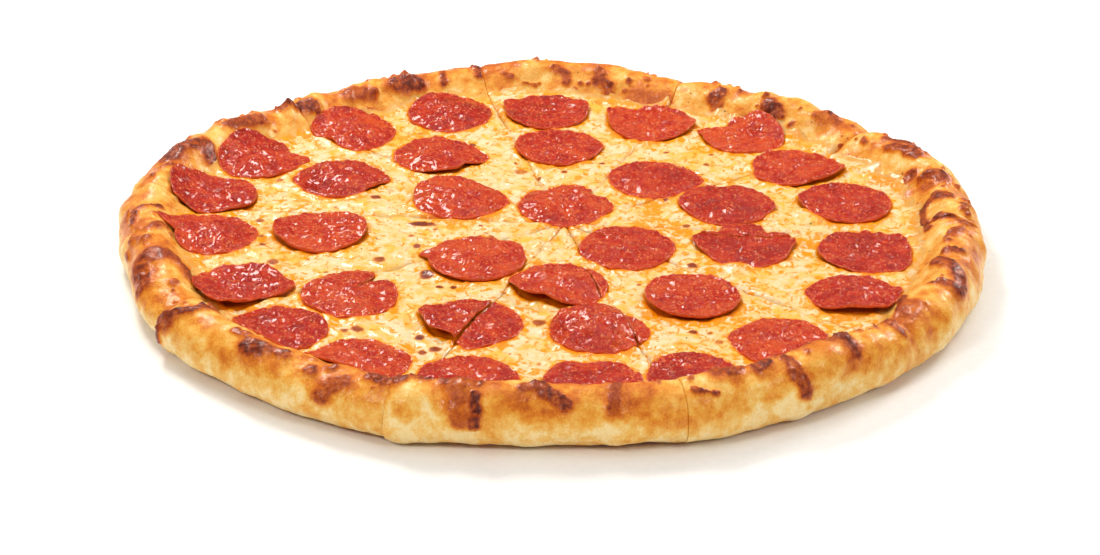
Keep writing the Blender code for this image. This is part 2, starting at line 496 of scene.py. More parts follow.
def closed_wedge(
    name: str, grid: np.ndarray, low: np.ndarray, high: np.ndarray, layers: dict
) -> bpy.types.Object:
    """A closed wedge from the grid of its underside, outer side and top.

    Args:
        name: The piece's name.
        grid: Columns by rows of points. A column runs from the low tip out and back to the high tip.
        low: The lower point of the tip.
        high: The upper point of the tip.
        layers: Attribute names with one value for each point of the grid.

    Returns:
        The linked object.
    """
    columns, rows = grid.shape[:2]
    faces = grid_faces(columns, rows)
    low_tip, high_tip = columns * rows, columns * rows + 1
    for column in range(columns - 1):
        here, beyond = column * rows, (column + 1) * rows
        faces.append([low_tip, beyond, here])
        faces.append([high_tip, here + rows - 1, beyond + rows - 1])
    last = (columns - 1) * rows
    faces.append([low_tip, *range(rows), high_tip])
    faces.append([high_tip, *range(last + rows - 1, last - 1, -1), low_tip])
    vertices = np.concatenate((grid.reshape(-1, 3), [low, high]))
    extended = {
        layer: np.append(values.ravel(), (values[0, 0], values[0, -1]))
        for layer, values in layers.items()
    }
    thing = mesh_object(name, vertices, faces, extended)
    thing.data.set_sharp_from_angle(angle=math.radians(75.0))
    return thing


def away_from_path(points: np.ndarray, path: np.ndarray) -> np.ndarray:
    """The distance of points in a plane from a path of straight pieces.

    Args:
        points: Places in the plane, along the last axis.
        path: The path's corners, one row each.

    Returns:
        One distance for each point.
    """
    nearest = np.full(points.shape[:-1], np.inf)
    for start, end in zip(path, path[1:] if len(path) > 1 else path):
        along = end - start
        share = np.clip((points - start) @ along / max(along @ along, 1e-12), 0.0, 1.0)
        gap = np.linalg.norm(points - start - share[..., None] * along, axis=-1)
        nearest = np.minimum(nearest, gap)
    return nearest


@dataclass(frozen=True)
class Toast:
    """A scorched ridge or blister on the rim.

    Attributes:
        path: Its course: bearing in degrees, and millimetres over the crest towards the cheese.
        wide_mm: Half of its width.
        bake: How dark it is, up to 1.
    """

    path: tuple[tuple[float, float], ...]
    wide_mm: float
    bake: float


TOASTS = tuple(Toast(*row) for row in (
    (((131, 4), (128, 5)), 3.8, 0.78), (((122, 4), (118, 6)), 4.2, 0.95),
    (((112, -1), (113, 7)), 2.0, 0.80), (((106, -4), (106, 5)), 1.8, 0.90),
    (((101, 6), (100, 7)), 1.7, 0.75), (((98, 11), (96, 13)), 1.1, 0.75),
    (((92, 3), (90, 6), (90, 10)), 2.0, 0.78), (((84, 5), (84, 9), (82, 11)), 3.0, 0.85),
    (((82, 14), (81, 15)), 1.4, 0.70), (((78, 6), (78, 7)), 1.4, 0.75), (((76, 14), (71, 14)), 5.5, 0.62),
    (((60, 4), (61, 7)), 3.4, 0.88), (((60, 10), (60, 12)), 2.8, 0.62), (((50, 6), (48, 8)), 3.8, 0.90),
    (((40, -3), (38, -1)), 2.2, 0.88), (((30, 5), (29, 6)), 1.4, 0.75),
    (((27, -1), (23, -2), (19, -2)), 2.2, 0.90), (((24, 4), (21, 2), (18, 1)), 2.2, 0.84),
    (((15.5, 9), (16, 15), (13, 22)), 3.2, 0.88), (((13, 4), (10, -1)), 3.0, 0.88),
    (((11, 8), (10, 7)), 3.0, 0.68), (((3.5, 1), (5.5, 6), (4.5, 13), (1, 14), (-4, 11)), 2.2, 0.90),
    (((-2, 6), (-4, 0), (-6, -3)), 2.2, 0.88), (((-8, -1), (-11, 2)), 2.0, 0.82),
    (((-16, 3), (-16, -2)), 1.7, 0.90), (((-20, 4), (-22, -3), (-24, -8), (-26, -8)), 2.8, 0.92),
    (((-27, 1), (-26, -4), (-26, -8)), 2.2, 0.88), (((-28, 15), (-37, 1)), 2.3, 0.95),
    (((-34, 1), (-38, -2)), 4.2, 0.64),
    (((-47, 13), (-42, 11), (-39, 8), (-41, -2), (-41, -8)), 1.8, 0.92),
    (((-57, 4), (-54, 4), (-50, 1)), 3.0, 0.80), (((-50, 1), (-50, -7)), 3.2, 0.90),
    (((-60, -2), (-60, -9), (-59, -15)), 2.8, 0.84), (((-63, 0), (-64, 0)), 3.0, 0.98),
    (((-70, 1), (-67, 2)), 3.6, 0.80), (((-74, -5), (-72, -7), (-71, -8)), 0.9, 0.88),
    (((-83.5, -1), (-84, -11)), 2.6, 0.76), (((-93, -1), (-92, -5), (-90, -9)), 2.8, 0.93),
    (((-95, -3), (-94, -2)), 2.0, 0.88), (((-105, 0), (-101, -1)), 2.6, 0.86),
    (((-103, -2), (-102, -14)), 3.8, 0.66), (((-100.5, -7), (-100.5, -17)), 1.6, 0.97),
    (((-109, 1), (-107, 2)), 2.2, 0.97), (((-114, -1), (-112, -3), (-110, -1)), 2.5, 0.88),
    (((-117, -6), (-119, -10), (-119, -13)), 3.2, 0.74), (((-122, -4), (-122, -5)), 2.2, 0.88),
    (((-131, -5), (-130, -5)), 4.2, 1.0), (((-130, -4), (-126, -3)), 1.8, 0.88),
    (((-135, -2), (-133, -1)), 1.6, 0.78),
    (((-146, -18), (-146.5, -13), (-145, -9), (-143, -3), (-142, 4)), 1.8, 0.94),
    (((-145, -11), (-146, -12)), 3.6, 0.80),
    (((-155, -10), (-159, -8), (-159.5, -4), (-159, 3), (-158.5, 11), (-156, 12)), 4.4, 0.86),
    (((-166, -8), (-164, -3)), 1.6, 0.78), (((-164, -13), (-165, -13)), 1.0, 0.78),
    (((-171, -7), (-175, -5), (-176, 1), (-177, 5)), 1.6, 0.92), (((-168, -1), (-170, 5)), 1.9, 0.80),
    (((168, -2), (164, -1), (162, 5), (163, 10)), 4.2, 0.95),
    (((171, -1), (170, 1), (170, 5)), 1.5, 0.82), (((154, 2), (151, 3), (149, 5)), 3.2, 0.80),
    (((143, 0), (142, 0)), 2.7, 0.94), (((141, 1), (139, 5)), 3.3, 0.88),
))


@dataclass(frozen=True)
class Puff:
    """A soft swelling of the rim: bearing in degrees, millimetres over the crest, spans and height."""

    bearing_deg: float
    over_mm: float
    along_mm: float
    across_mm: float
    high_mm: float


PUFFS = tuple(Puff(*row) for row in (
    (-10, -2, 12, 10, 1.1), (-1, 6, 9, 9, 1.6), (7, 6, 7, 10, 1.3), (14, -2, 9, 9, 1.2),
    (22, 9, 8, 9, 1.3), (-19, 6, 9, 9, 1.1), (-31, -6, 12, 9, 1.0), (-46, -4, 16, 10, 1.0),
    (-55, -7, 9, 9, 0.8), (-76, -4, 14, 9, 1.0), (-97, -6, 9, 9, 0.8), (-109, -8, 9, 10, 1.0),
    (-137, -2, 26, 12, 1.6), (-160, -2, 12, 9, 1.2), (-171, 1, 12, 10, 1.4), (175, 1, 10, 9, 1.1),
    (164, 3, 11, 9, 1.3), (150, 4, 9, 7, 1.0), (136, 3, 13, 9, 1.1), (120, 5, 11, 7, 1.0),
    (97, 3, 10, 8, 0.8), (60, 5, 9, 8, 1.0), (44, 2, 12, 8, 1.0),
))


@dataclass
class Crust:
    """The dough of ten slices: a flat baked base and a puffy rim with folds and scorched blisters.

    Attributes:
        outline: The plan.
        rim_width: From the outer edge in to the foot of the rim's inner slope.
        crest_in: From the outer edge in to the crest.
        widest_height: The height at which the rim reaches furthest out.
        underside_in: From the outer edge in to where the base leaves the table.
        dough: The thickness of the base under the cheese.
        half_gap: How far each side stays from its cut.
        columns: Columns of points in a slice.
        dips_mm: How far the rim sinks at each cut.
        laps_mm: How much the rim stands up or sinks just before and just after each cut.
        pleats_mm: The height of the slanting folds at each cut's bearing.
        swells: The width and height, in millimetres, of each layer of the skin's lumps.
        plain_bake: How dark the skin is where nothing else darkens it.
        mottles: Where each layer of mottling starts in the noise, its width in millimetres and its share.
        bake_zones: How much darker the shoulder, how much paler the outer side and how much darker the
            sole.
        pleat_wide: The width of a slanting fold, and how far over the crest it goes.
        sole_high: The height under which the skin darkens towards the sole.
        puff_rise: How much more than its own height each puff stands up.
        toast_span_mm: How far along the rim from its first point a toasted ridge may reach.
        halo_bake: How dark the skin round a toasted spot is.
        halo_rise: How far the skin round the darkest spots stands up.
        core_rise: How much further the spot itself does.
        small_toasts: How many small blisters are strewn besides the listed ones.
    """

    outline: Outline
    rim_width: float = 31.0 * MM
    crest_in: float = 12.5 * MM
    widest_height: float = 8.5 * MM
    underside_in: float = 13.0 * MM
    dough: float = 6.0 * MM
    half_gap: float = 0.06 * MM
    columns: int = 200
    dips_mm: tuple = (0.6, 2.2, 0.7, 1.0, 2.4, 1.8, 2.4, 0.5, 0.3, 0.5)
    laps_mm: tuple = (
        (0.0, 0.0), (-0.4, -0.4), (0.0, 0.2), (0.2, 0.0), (-1.0, 1.5),
        (-1.2, 1.6), (-1.8, 2.0), (-0.4, 0.8), (0.0, 0.4), (0.2, 0.0),
    )
    pleats_mm: tuple = (1.6, 1.4, 0.8, 0.7, 1.4, 1.4, 0.8, 0.4, 0.5, 1.1)
    swells: tuple = ((36.0, 1.6), (15.0, 0.95), (6.0, 0.34), (2.4, 0.11), (1.2, 0.05))
    plain_bake: float = 0.28
    mottles: tuple = ((1.0, 22.0, 0.16), (2.0, 8.0, 0.20), (4.0, 3.0, 0.12))
    bake_zones: tuple[float, float, float] = (0.14, 0.20, 0.26)
    pleat_wide: float = 17.0 * MM
    sole_high: float = 2.4 * MM
    puff_rise: float = 1.5
    toast_span_mm: float = 60.0
    halo_bake: float = 0.55
    halo_rise: float = 0.95 * MM
    core_rise: float = 0.34 * MM
    small_toasts: int = 170
    lumps: Lumps = field(default_factory=lambda: Lumps(SEED))

    def __post_init__(self) -> None:
        """Strews the small blisters and sets the share of each row along its part of the section."""
        draw = np.random.default_rng(SEED + 4)
        strewn = [
            Toast(
                path=((draw.uniform(-180.0, 180.0), draw.uniform(-9.0, 16.0)),),
                wide_mm=draw.uniform(0.4, 1.5),
                bake=draw.uniform(0.60, 0.85),
            )
            for _ in range(self.small_toasts)
        ]
        self.toasts = (*TOASTS, *strewn)
        quarter = math.pi / 2.0
        self.under = np.linspace(0.0, quarter, 24)
        self.outer = np.linspace(0.0, quarter, 36)[1:]
        self.inner = np.linspace(0.0, 1.0, 38)[1:]
        self.foot = np.array((0.33, 0.66, 1.0))
        self.floor = np.array((0.02, 0.2, 0.4, 0.6, 0.75, 0.87, 0.95))
        self.bed = np.array((0.7, 0.4, 0.15, 0.02))

    def section(self, edge: np.ndarray, crest: np.ndarray) -> tuple[np.ndarray, np.ndarray, np.ndarray]:
        """The crust's section at some bearings.

        Args:
            edge: The outer edge's reach at each bearing.
            crest: The crest's height at each bearing.

        Returns:
            Reaches and heights, columns by rows, and how much relief each row takes.
        """
        edge, crest, level = edge[:, None], crest[:, None], self.outline.level
        start = edge - self.underside_in
        foot_reach = edge - self.rim_width - 2.0 * MM
        zones = (
            (start * self.floor, 0.0 * start * self.floor, 0.0),
            (
                edge - self.underside_in * (1.0 - np.sin(self.under)),
                self.widest_height * (1.0 - np.cos(self.under)) + 0.0 * edge,
                smooth(self.under / 0.9),
            ),
            (
                edge - self.crest_in * (1.0 - np.cos(self.outer)),
                self.widest_height + (crest - self.widest_height) * np.sin(self.outer),
                1.0,
            ),
            (
                edge - self.crest_in - (self.rim_width - self.crest_in) * self.inner,
                level + (crest - level) * (1.0 - smooth(self.inner)),
                1.0 - 0.6 * smooth(self.inner),
            ),
            (
                edge - self.rim_width - 2.0 * MM * self.foot,
                level + (self.dough - level) * smooth(self.foot) + 0.0 * edge,
                0.3 * (1.0 - self.foot),
            ),
            (foot_reach * self.bed, self.dough + 0.0 * foot_reach * self.bed, 0.0),
        )
        reach = np.concatenate([zone[0] for zone in zones], axis=1)
        height = np.concatenate([zone[1] for zone in zones], axis=1)
        relief = [np.broadcast_to(zone[2], zone[0].shape[1:]) for zone in zones]
        return reach, height, np.concatenate(relief)

    def crest_row(self) -> int:
        """The number of the row that runs along the crest."""
        return len(self.floor) + len(self.under) + len(self.outer) - 1

    def surface(
        self, bearing: np.ndarray, over: np.ndarray, points: np.ndarray
    ) -> tuple[np.ndarray, np.ndarray]:
        """How the rim's skin stands out, and how far it is baked.

        Args:
            bearing: Bearings, in the grid's layout.
            over: Metres over the crest towards the cheese, in the grid's layout.
            points: The plain surface's points.

        Returns:
            The height of the skin over the plain surface, and its bake from 0 to 1, which also holds
            painted shade in the skin's hollows and folds and painted light on its lumps and puffs.
        """
        lumps = self.lumps
        high = lumps.layered(points, self.swells) * MM
        number, past = self.outline.nearest_cut(bearing)
        place = (bearing - self.outline.first_cut) / SLICE_TURN
        along = bearing * RIM_MM * MM
        slanted = np.stack((along - 0.7 * over, 0.35 * over, 0.0 * along), axis=-1)
        pleat = through(np.array(self.pleats_mm), place) * MM
        fold = 1.0 - 2.2 * np.abs(lumps.at(slanted + 0.5, self.pleat_wide))
        high += pleat * fold * np.exp(-((over / self.pleat_wide) ** 4))

        # Painted shade and painted light: the skin is painted darker where its lumps and folds sink and
        # paler where they stand up.
        bake = self.plain_bake - 36.0 * high
        for start, size_mm, share in self.mottles:
            bake += share * lumps.at(points + start, size_mm * MM)
        shoulder, side, sole = self.bake_zones
        bake += shoulder * np.exp(-(((over + 5.0 * MM) / (9.0 * MM)) ** 2))
        bake -= side * smooth((-over - 11.0 * MM) / (9.0 * MM)) * (points[..., 2] > 0.5 * MM)
        bake += sole * smooth(1.0 - points[..., 2] / self.sole_high)

        ragged = lumps.layered(points, ((7.0, 0.9), (3.0, 0.6), (1.3, 0.4)))
        blotch = lumps.layered(points + 0.2, ((2.6, 0.6), (1.1, 0.5)))
        for puff in PUFFS:
            beside = turned(bearing - math.radians(puff.bearing_deg)) * RIM_MM
            lobe = (beside / puff.along_mm) ** 2 + ((over / MM - puff.over_mm) / puff.across_mm) ** 2
            high += self.puff_rise * puff.high_mm * MM * np.exp(-lobe)
            # Painted light: each puff is painted a little paler on its swelling.
            bake -= 0.05 * np.exp(-lobe)
        for toast in self.toasts:
            middle = math.radians(toast.path[0][0])
            beside = turned(bearing - middle) * RIM_MM
            near = np.flatnonzero(np.abs(beside[:, 0]) < self.toast_span_mm)
            if not len(near):
                continue
            spots = np.stack((beside[near], over[near] / MM), axis=-1)
            path = np.array([(turned(math.radians(b) - middle) * RIM_MM, s) for b, s in toast.path])
            gap = (away_from_path(spots, path) + 1.1 * ragged[near]) / toast.wide_mm
            halo = smooth((1.9 - gap) / 1.2)
            core = smooth((1.18 - gap) / 0.42) * np.clip(0.66 + 0.9 * blotch[near], 0.1, 1.0)
            bake[near] = np.maximum(bake[near], bake[near] + (self.halo_bake - bake[near]) * halo)
            bake[near] += (toast.bake - bake[near]) * core
            rise = self.halo_rise * halo + self.core_rise * core * (1.0 + blotch[near])
            high[near] += rise * toast.bake

        inwards = np.abs(np.sin(past)) * self.outline.edge(bearing)
        dips = np.array(self.dips_mm)[number] * MM
        laps = np.array(self.laps_mm)[number, (past > 0.0).astype(int)] * MM
        high -= dips * np.exp(-((inwards / (2.6 * MM)) ** 1.3))
        high += laps * np.exp(-inwards / (13.0 * MM))
        rounding = 0.1 * MM + 0.4 * dips
        inner = np.clip(1.0 - inwards / rounding, 0.0, 1.0)
        high -= rounding * (1.0 - np.sqrt(1.0 - inner**2)) * 0.9
        bake += 60.0 * dips * np.exp(-inwards / (1.6 * MM))
        return high, np.clip(bake, 0.0, 1.0)

    def slope_height(self, bearing: np.ndarray, reach: np.ndarray) -> np.ndarray:
        """The plain height of the rim's inner slope, and of the dough inside its foot.

        Args:
            bearing: Bearings.
            reach: Reaches from the crossing, in the same layout.

        Returns:
            One height for each place.
        """
        inwards = self.outline.edge(bearing) - reach
        share = (inwards - self.crest_in) / (self.rim_width - self.crest_in)
        level = self.outline.level
        slope = level + (self.outline.crest(bearing) - level) * (1.0 - smooth(share))
        foot = smooth((inwards - self.rim_width) / (2.0 * MM))
        return slope + (self.dough - level) * foot

    def over_crest(self, bearing: np.ndarray, reach: np.ndarray) -> np.ndarray:
        """How far over the crest a point of the inner slope lies, along the slope.

        Args:
            bearing: Bearings.
            reach: Reaches from the crossing, in the same layout.

        Returns:
            One distance for each place.
        """
        inwards = self.outline.edge(bearing) - reach - self.crest_in
        fall = self.outline.crest(bearing) - self.slope_height(bearing, reach)
        return np.sign(inwards) * np.hypot(inwards, np.minimum(fall, 14.0 * MM))

    def build(self, number: int) -> tuple[bpy.types.Object, np.ndarray]:
        """Makes one slice's crust.

        Args:
            number: Which slice, from 0.

        Returns:
            The object, and the grid of the part of its skin that faces up.
        """
        bearing = self.outline.slice_bearings(number, self.columns)
        edge, crest = self.outline.edge(bearing), self.outline.crest(bearing)
        reach, height, relief = self.section(edge, crest)
        round_reach, round_height = np.gradient(reach, axis=1), np.gradient(height, axis=1)
        steps = np.hypot(round_reach, round_height)
        lengths = np.cumsum(np.hypot(np.diff(reach, axis=1), np.diff(height, axis=1)), axis=1)
        travelled = np.concatenate((np.zeros((len(bearing), 1)), lengths), axis=1)
        over = travelled - travelled[:, self.crest_row()][:, None]
        bearings = np.broadcast_to(bearing[:, None], reach.shape)
        plain = self.outline.placed(bearings, reach, height)
        high, bake = self.surface(bearings, over, plain)
        high = high * relief
        reach = reach + high * round_height / steps
        height = np.maximum(height - high * round_reach / steps, 0.0)
        grid = self.outline.placed(bearings, reach, height)
        grid = self.outline.drawn_in(grid, number, self.half_gap, 4.0 * MM)
        low, high = (self.outline.tip(number, self.half_gap, z) for z in (0.0, self.dough))
        thing = closed_wedge(f"baked_crust_{number + 1:02d}", grid, low, high, {"bake": bake})
        shown = slice(self.crest_row() - 18, self.crest_row() + 22)
        return thing, grid[:, shown]


@dataclass(frozen=True)
class Bubble:
    """A risen or scorched spot of the cheese: bearing, reach, size, height and scorch."""

    bearing_deg: float
    reach_mm: float
    wide_mm: float
    high_mm: float
    toast: float
    long: float = 1.0


BUBBLES = tuple(Bubble(*row) for row in (
    (331.2, 82.4, 5.5, 3.0, 0.0), (333.5, 84.0, 1.8, 0.3, 0.8), (184.0, 61.0, 2.6, 0.6, 1.0, 2.4),
    (222.6, 76.5, 3.4, 0.9, 1.0), (231.0, 80.5, 1.7, 0.4, 0.9), (234.0, 76.8, 1.5, 0.3, 0.9),
    (104.8, 47.4, 1.6, 0.4, 0.8), (90.6, 52.8, 1.7, 0.4, 0.8), (75.2, 64.5, 1.6, 0.4, 0.8),
    (59.3, 89.7, 1.6, 0.4, 0.8), (45.5, 90.6, 1.6, 0.4, 0.8), (323.8, 65.5, 2.4, 0.6, 0.95),
    (166.4, 90.2, 6.5, 1.6, 0.2), (166.1, 84.9, 2.6, 0.8, 0.9), (231.1, 129.4, 2.8, 0.8, 0.8),
    (229.7, 133.4, 2.0, 0.5, 0.7), (242.0, 120.4, 2.2, 0.6, 0.95), (246.7, 126.1, 2.6, 0.8, 0.85),
    (245.2, 130.5, 2.0, 0.6, 0.8), (251.6, 119.0, 2.6, 0.6, 0.75), (206.9, 86.2, 2.8, 0.6, 0.8),
    (199.5, 127.8, 2.6, 0.5, 0.8), (292.4, 116.6, 2.6, 0.9, 0.3), (297.5, 110.1, 2.0, 0.5, 0.8),
    (110.9, 55.5, 3.4, 0.5, 0.55), (181.7, 130.2, 2.2, 0.4, 0.7), (163.1, 131.7, 1.8, 0.4, 0.7),
    (263.8, 92.4, 3.2, 0.7, 0.75), (359.4, 51.9, 1.8, 0.5, 0.75), (299.8, 121.7, 2.0, 0.5, 0.6),
    (341.5, 98.7, 2.0, 0.5, 0.5),
))


@dataclass
class Cheese:
    """The melted cheese: a lumpy sheet over the dough that climbs the rim as a thin film.

    Attributes:
        outline: The plan.
        crust: The crust that it lies in.
        film: The thickness of the film on the rim's slope.
        climb_mm: How far up the slope the film goes, least and most.
        floor: The height of the sheet's underside.
        half_gap: How far each side stays from its cut.
        columns: Columns of points in a slice.
        rows: Rows of points from the tip to the rim.
        relief_mm: The height of the billows, of the small billows and of the fine grain.
        grains: The widths of those three.
        bend: How far the billows are bent out of line.
        bend_wide: The width of those bends.
        plain_oil: How oily the cheese is on the whole.
        oil_swing: How much that changes from place to place.
        press: How deep a disc of pepperoni presses into it.
        press_wide: How far in from a disc's edge it is pressed to the full.
        disc_reach: How far from a disc's middle the disc changes the cheese.
        ridge: How high it stands round a disc.
        pool_wide: How far the oil round a disc spreads thinly.
        bubble_reach: How many times its own size a bubble changes the cheese.
        strewn_reach_mm: How far from the crossing small bubbles and mounds are strewn.
        small_bubbles: How many small bubbles are strewn besides the listed ones.
        mounds: How many broad pale bubbles are.
        seams_mm: How deep the groove is at each cut.
        seam_wide: The width of that groove.
        lip: How high the cheese stands beside it.
    """

    outline: Outline
    crust: Crust
    film: float = 0.9 * MM
    climb_mm: tuple[float, float] = (3.0, 14.0)
    floor: float = 6.25 * MM
    half_gap: float = 0.06 * MM
    columns: int = 150
    rows: int = 215
    relief_mm: tuple[float, float, float] = (1.6, 0.45, 0.07)
    grains: tuple[float, float, float] = (9.5 * MM, 4.2 * MM, 2.0 * MM)
    bend: float = 2.2 * MM
    bend_wide: float = 8.0 * MM
    plain_oil: float = 0.08
    oil_swing: float = 0.55
    press: float = 0.15 * MM
    press_wide: float = 2.4 * MM
    disc_reach: float = 32.0 * MM
    ridge: float = 0.50 * MM
    pool_wide: float = 5.0 * MM
    bubble_reach: float = 4.0
    strewn_reach_mm: float = 145.0
    small_bubbles: int = 130
    mounds: int = 90
    seams_mm: tuple = (1.1, 1.0, 0.9, 1.1, 1.5, 1.5, 1.5, 1.4, 1.5, 1.5)
    seam_wide: float = 0.75 * MM
    lip: float = 0.22 * MM
    lumps: Lumps = field(default_factory=lambda: Lumps(SEED + 1))

    def __post_init__(self) -> None:
        """Strews the small bubbles."""
        draw = np.random.default_rng(SEED + 2)
        strewn = [
            Bubble(
                bearing_deg=draw.uniform(0.0, 360.0),
                reach_mm=self.strewn_reach_mm * math.sqrt(draw.uniform(0.01, 1.0)),
                wide_mm=draw.uniform(0.7, 1.9),
                high_mm=draw.uniform(0.1, 0.5),
                toast=draw.choice((0.0, 0.35, 0.6, 0.85)),
            )
            for _ in range(self.small_bubbles)
        ]
        mounds = [
            Bubble(
                bearing_deg=draw.uniform(0.0, 360.0),
                reach_mm=self.strewn_reach_mm * math.sqrt(draw.uniform(0.01, 1.0)),
                wide_mm=draw.uniform(2.2, 4.6),
                high_mm=draw.uniform(0.6, 1.7),
                toast=0.0,
                long=draw.uniform(0.9, 1.6),
            )
            for _ in range(self.mounds)
        ]
        self.bubbles = (*BUBBLES, *strewn, *mounds)

    def _flat(self, bearing: np.ndarray, reach: np.ndarray) -> np.ndarray:
        """Points at height nought, to read the noise at."""
        return self.outline.placed(bearing, reach, np.zeros_like(bearing * reach))

    def film_limit(self, bearing: np.ndarray) -> np.ndarray:
        """From the outer edge in to where the cheese ends on the rim's slope.

        Args:
            bearing: Bearings.

        Returns:
            One distance for each bearing.
        """
        ring = self._flat(bearing, 0.0 * bearing + 150.0 * MM)
        wave = 0.5 + 0.5 * self.lumps.at(ring + 5.0, 19.0 * MM) + 0.3 * self.lumps.at(ring, 6.0 * MM)
        low, high = self.climb_mm
        return self.crust.rim_width - MM * (low + (high - low) * np.clip(wave, 0.0, 1.0))

    def plain_height(self, bearing: np.ndarray, reach: np.ndarray) -> np.ndarray:
        """The height of the cheese without its fine relief, which the pepperoni lies on.

        Args:
            bearing: Bearings.
            reach: Reaches from the crossing, in the same layout.

        Returns:
            One height for each place.
        """
        flat = self._flat(bearing, reach)
        level = self.outline.level + 0.55 * MM * self.lumps.at(flat, 38.0 * MM)
        climb = self.outline.edge(bearing) - reach - self.film_limit(bearing)
        film = self.film * (1.5 * smooth(climb / (7.0 * MM)) - 0.5)
        return larger(level, self.crust.slope_height(bearing, reach) + film, 1.4 * MM)

    def surface(self, bearing: np.ndarray, reach: np.ndarray, discs: list) -> tuple[np.ndarray, dict]:
        """The fine height of the cheese, and what shows on it.

        Args:
            bearing: Bearings, in the grid's layout.
            reach: Reaches, in the same layout.
            discs: The pepperoni that lies on it.

        Returns:
            Heights, and the attributes oil, toast, seam and thin. The oil also holds painted shadow on the
            discs' near side and painted shade in the billows' hollows.
        """
        lumps = self.lumps
        flat = self._flat(bearing, reach)
        plain = self.plain_height(bearing, reach)
        bent = flat.copy()
        bent[..., 0] += self.bend * lumps.at(flat + 7.0, self.bend_wide)
        bent[..., 1] += self.bend * lumps.at(flat + 8.0, self.bend_wide)
        broad_grain, small_grain, fine_grain = self.grains
        billow = 0.55 - np.abs(lumps.at(bent, broad_grain))
        small = 0.5 - np.abs(lumps.at(bent + 2.0, small_grain))
        fine = lumps.at(bent + 3.0, fine_grain)
        relief = sum(high * MM * part for high, part in zip(self.relief_mm, (billow, small, fine)))
        toast = np.zeros_like(plain)
        oil = self.plain_oil + self.oil_swing * lumps.at(flat + 3.0, 26.0 * MM)

        x, y = flat[..., 0], flat[..., 1]
        for bubble in self.bubbles:
            turn = math.radians(bubble.bearing_deg)
            centre_x = self.outline.crossing[0] + bubble.reach_mm * MM * math.cos(turn)
            centre_y = self.outline.crossing[1] + bubble.reach_mm * MM * math.sin(turn)
            wide = bubble.wide_mm * MM
            near = np.abs(x - centre_x) < self.bubble_reach * wide * bubble.long
            near &= np.abs(y - centre_y) < self.bubble_reach * wide
            if not near.any():
                continue
            across = (x[near] - centre_x) / (wide * bubble.long)
            gap = np.hypot(across, (y[near] - centre_y) / wide)
            gap = gap + 0.22 * lumps.at(flat[near], 0.9 * wide)
            risen = np.exp(-(gap**3) * 0.8)
            relief[near] = relief[near] * (1.0 - 0.5 * risen) + bubble.high_mm * MM * risen
            oil[near] -= min(0.5 * bubble.high_mm, 0.6) * risen
            scorch = bubble.toast * smooth(1.35 - gap) * (0.72 + 0.28 * smooth(gap))
            toast[near] = np.maximum(toast[near], scorch)

        climb = self.outline.edge(bearing) - reach - self.film_limit(bearing)
        on_slope = 1.0 - smooth((self.outline.edge(bearing) - reach - 27.0 * MM) / (6.0 * MM))
        relief *= smooth(climb / (9.0 * MM)) * (1.0 - 0.35 * on_slope)
        thin = 1.0 - smooth(climb / (11.0 * MM))
        oil += 0.35 * on_slope
        # More oil in the billows' hollows and less on their tops: oil that gathers there, and painted shade
        # in the hollows.
        oil -= 0.40 * billow
        height = plain + relief

        for disc in discs:
            x_off, y_off = x - disc.centre[0], y - disc.centre[1]
            near = (np.abs(x_off) < self.disc_reach) & (np.abs(y_off) < self.disc_reach)
            if not near.any():
                continue
            x_off, y_off = x_off[near], y_off[near]
            turn = np.arctan2(y_off, x_off)
            outside = np.hypot(x_off, y_off) - disc.radius_at(turn)
            under = smooth(-outside / self.press_wide)
            pressed = plain[near] - self.press
            height[near] = height[near] * (1.0 - under) + pressed * under
            beside = (outside > -2.0 * MM) * np.exp(-(((outside - 1.4 * MM) / (1.5 * MM)) ** 2))
            height[near] += self.ridge * beside
            # Painted shadow: on each disc's near side, towards -Y, the oil halo is painted stronger and
            # wider where the disc's shade falls; all round the disc it is the sausage's own oil.
            shadowed_side = np.clip(-np.sin(turn), 0.0, 1.0)
            wide = (0.8 + 1.5 * shadowed_side * disc.curl.near_oil_and_shadow) * MM
            beyond = np.maximum(outside, 0.0)
            halo = (0.70 + 0.35 * shadowed_side) * np.exp(-beyond / wide)
            halo = halo + 0.1 * np.exp(-beyond / self.pool_wide)
            oil[near] = np.maximum(oil[near], halo)

        number, past = self.outline.nearest_cut(bearing)
        away = np.abs(np.sin(past)) * reach
        depth = np.array(self.seams_mm)[number] * MM
        on_cut = self._flat(self.outline.first_cut + SLICE_TURN * number, reach)
        wander = 0.62 + 0.75 * lumps.at(on_cut + 9.0, 17.0 * MM)
        depth = depth * np.clip(wander, 0.12, 1.1)
        groove = depth * np.exp(-away / self.seam_wide)
        lip = self.lip * np.exp(-(((away - 2.2 * MM) / (1.3 * MM)) ** 2))
        height = height - groove + lip
        seam = np.clip(depth / (1.4 * MM), 0.0, 1.0) * np.exp(-away / (0.9 * MM))
        return height, {"oil": np.clip(oil, 0.0, 1.0), "toast": toast, "seam": seam, "thin": thin}

    def on_crust(self, bearing: np.ndarray, reach: np.ndarray, height: np.ndarray) -> np.ndarray:
        """Lifts the film by the relief of the crust that it lies on.

        Args:
            bearing: Bearings.
            reach: Reaches from the crossing, in the same layout.
            height: The cheese's own heights.

        Returns:
            The lifted heights.
        """
        over = self.crust.over_crest(bearing, reach)
        slope = self.crust.slope_height(bearing, reach)
        plain = self.outline.placed(bearing, reach, slope)
        high, _ = self.crust.surface(bearing, over, plain)
        inwards = self.outline.edge(bearing) - reach
        share = (inwards - self.crust.crest_in) / (self.crust.rim_width - self.crust.crest_in)
        fade = 1.0 - smooth((inwards - 26.0 * MM) / (6.0 * MM))
        return height + high * fade * (1.0 - 0.6 * smooth(share)) * 1.15

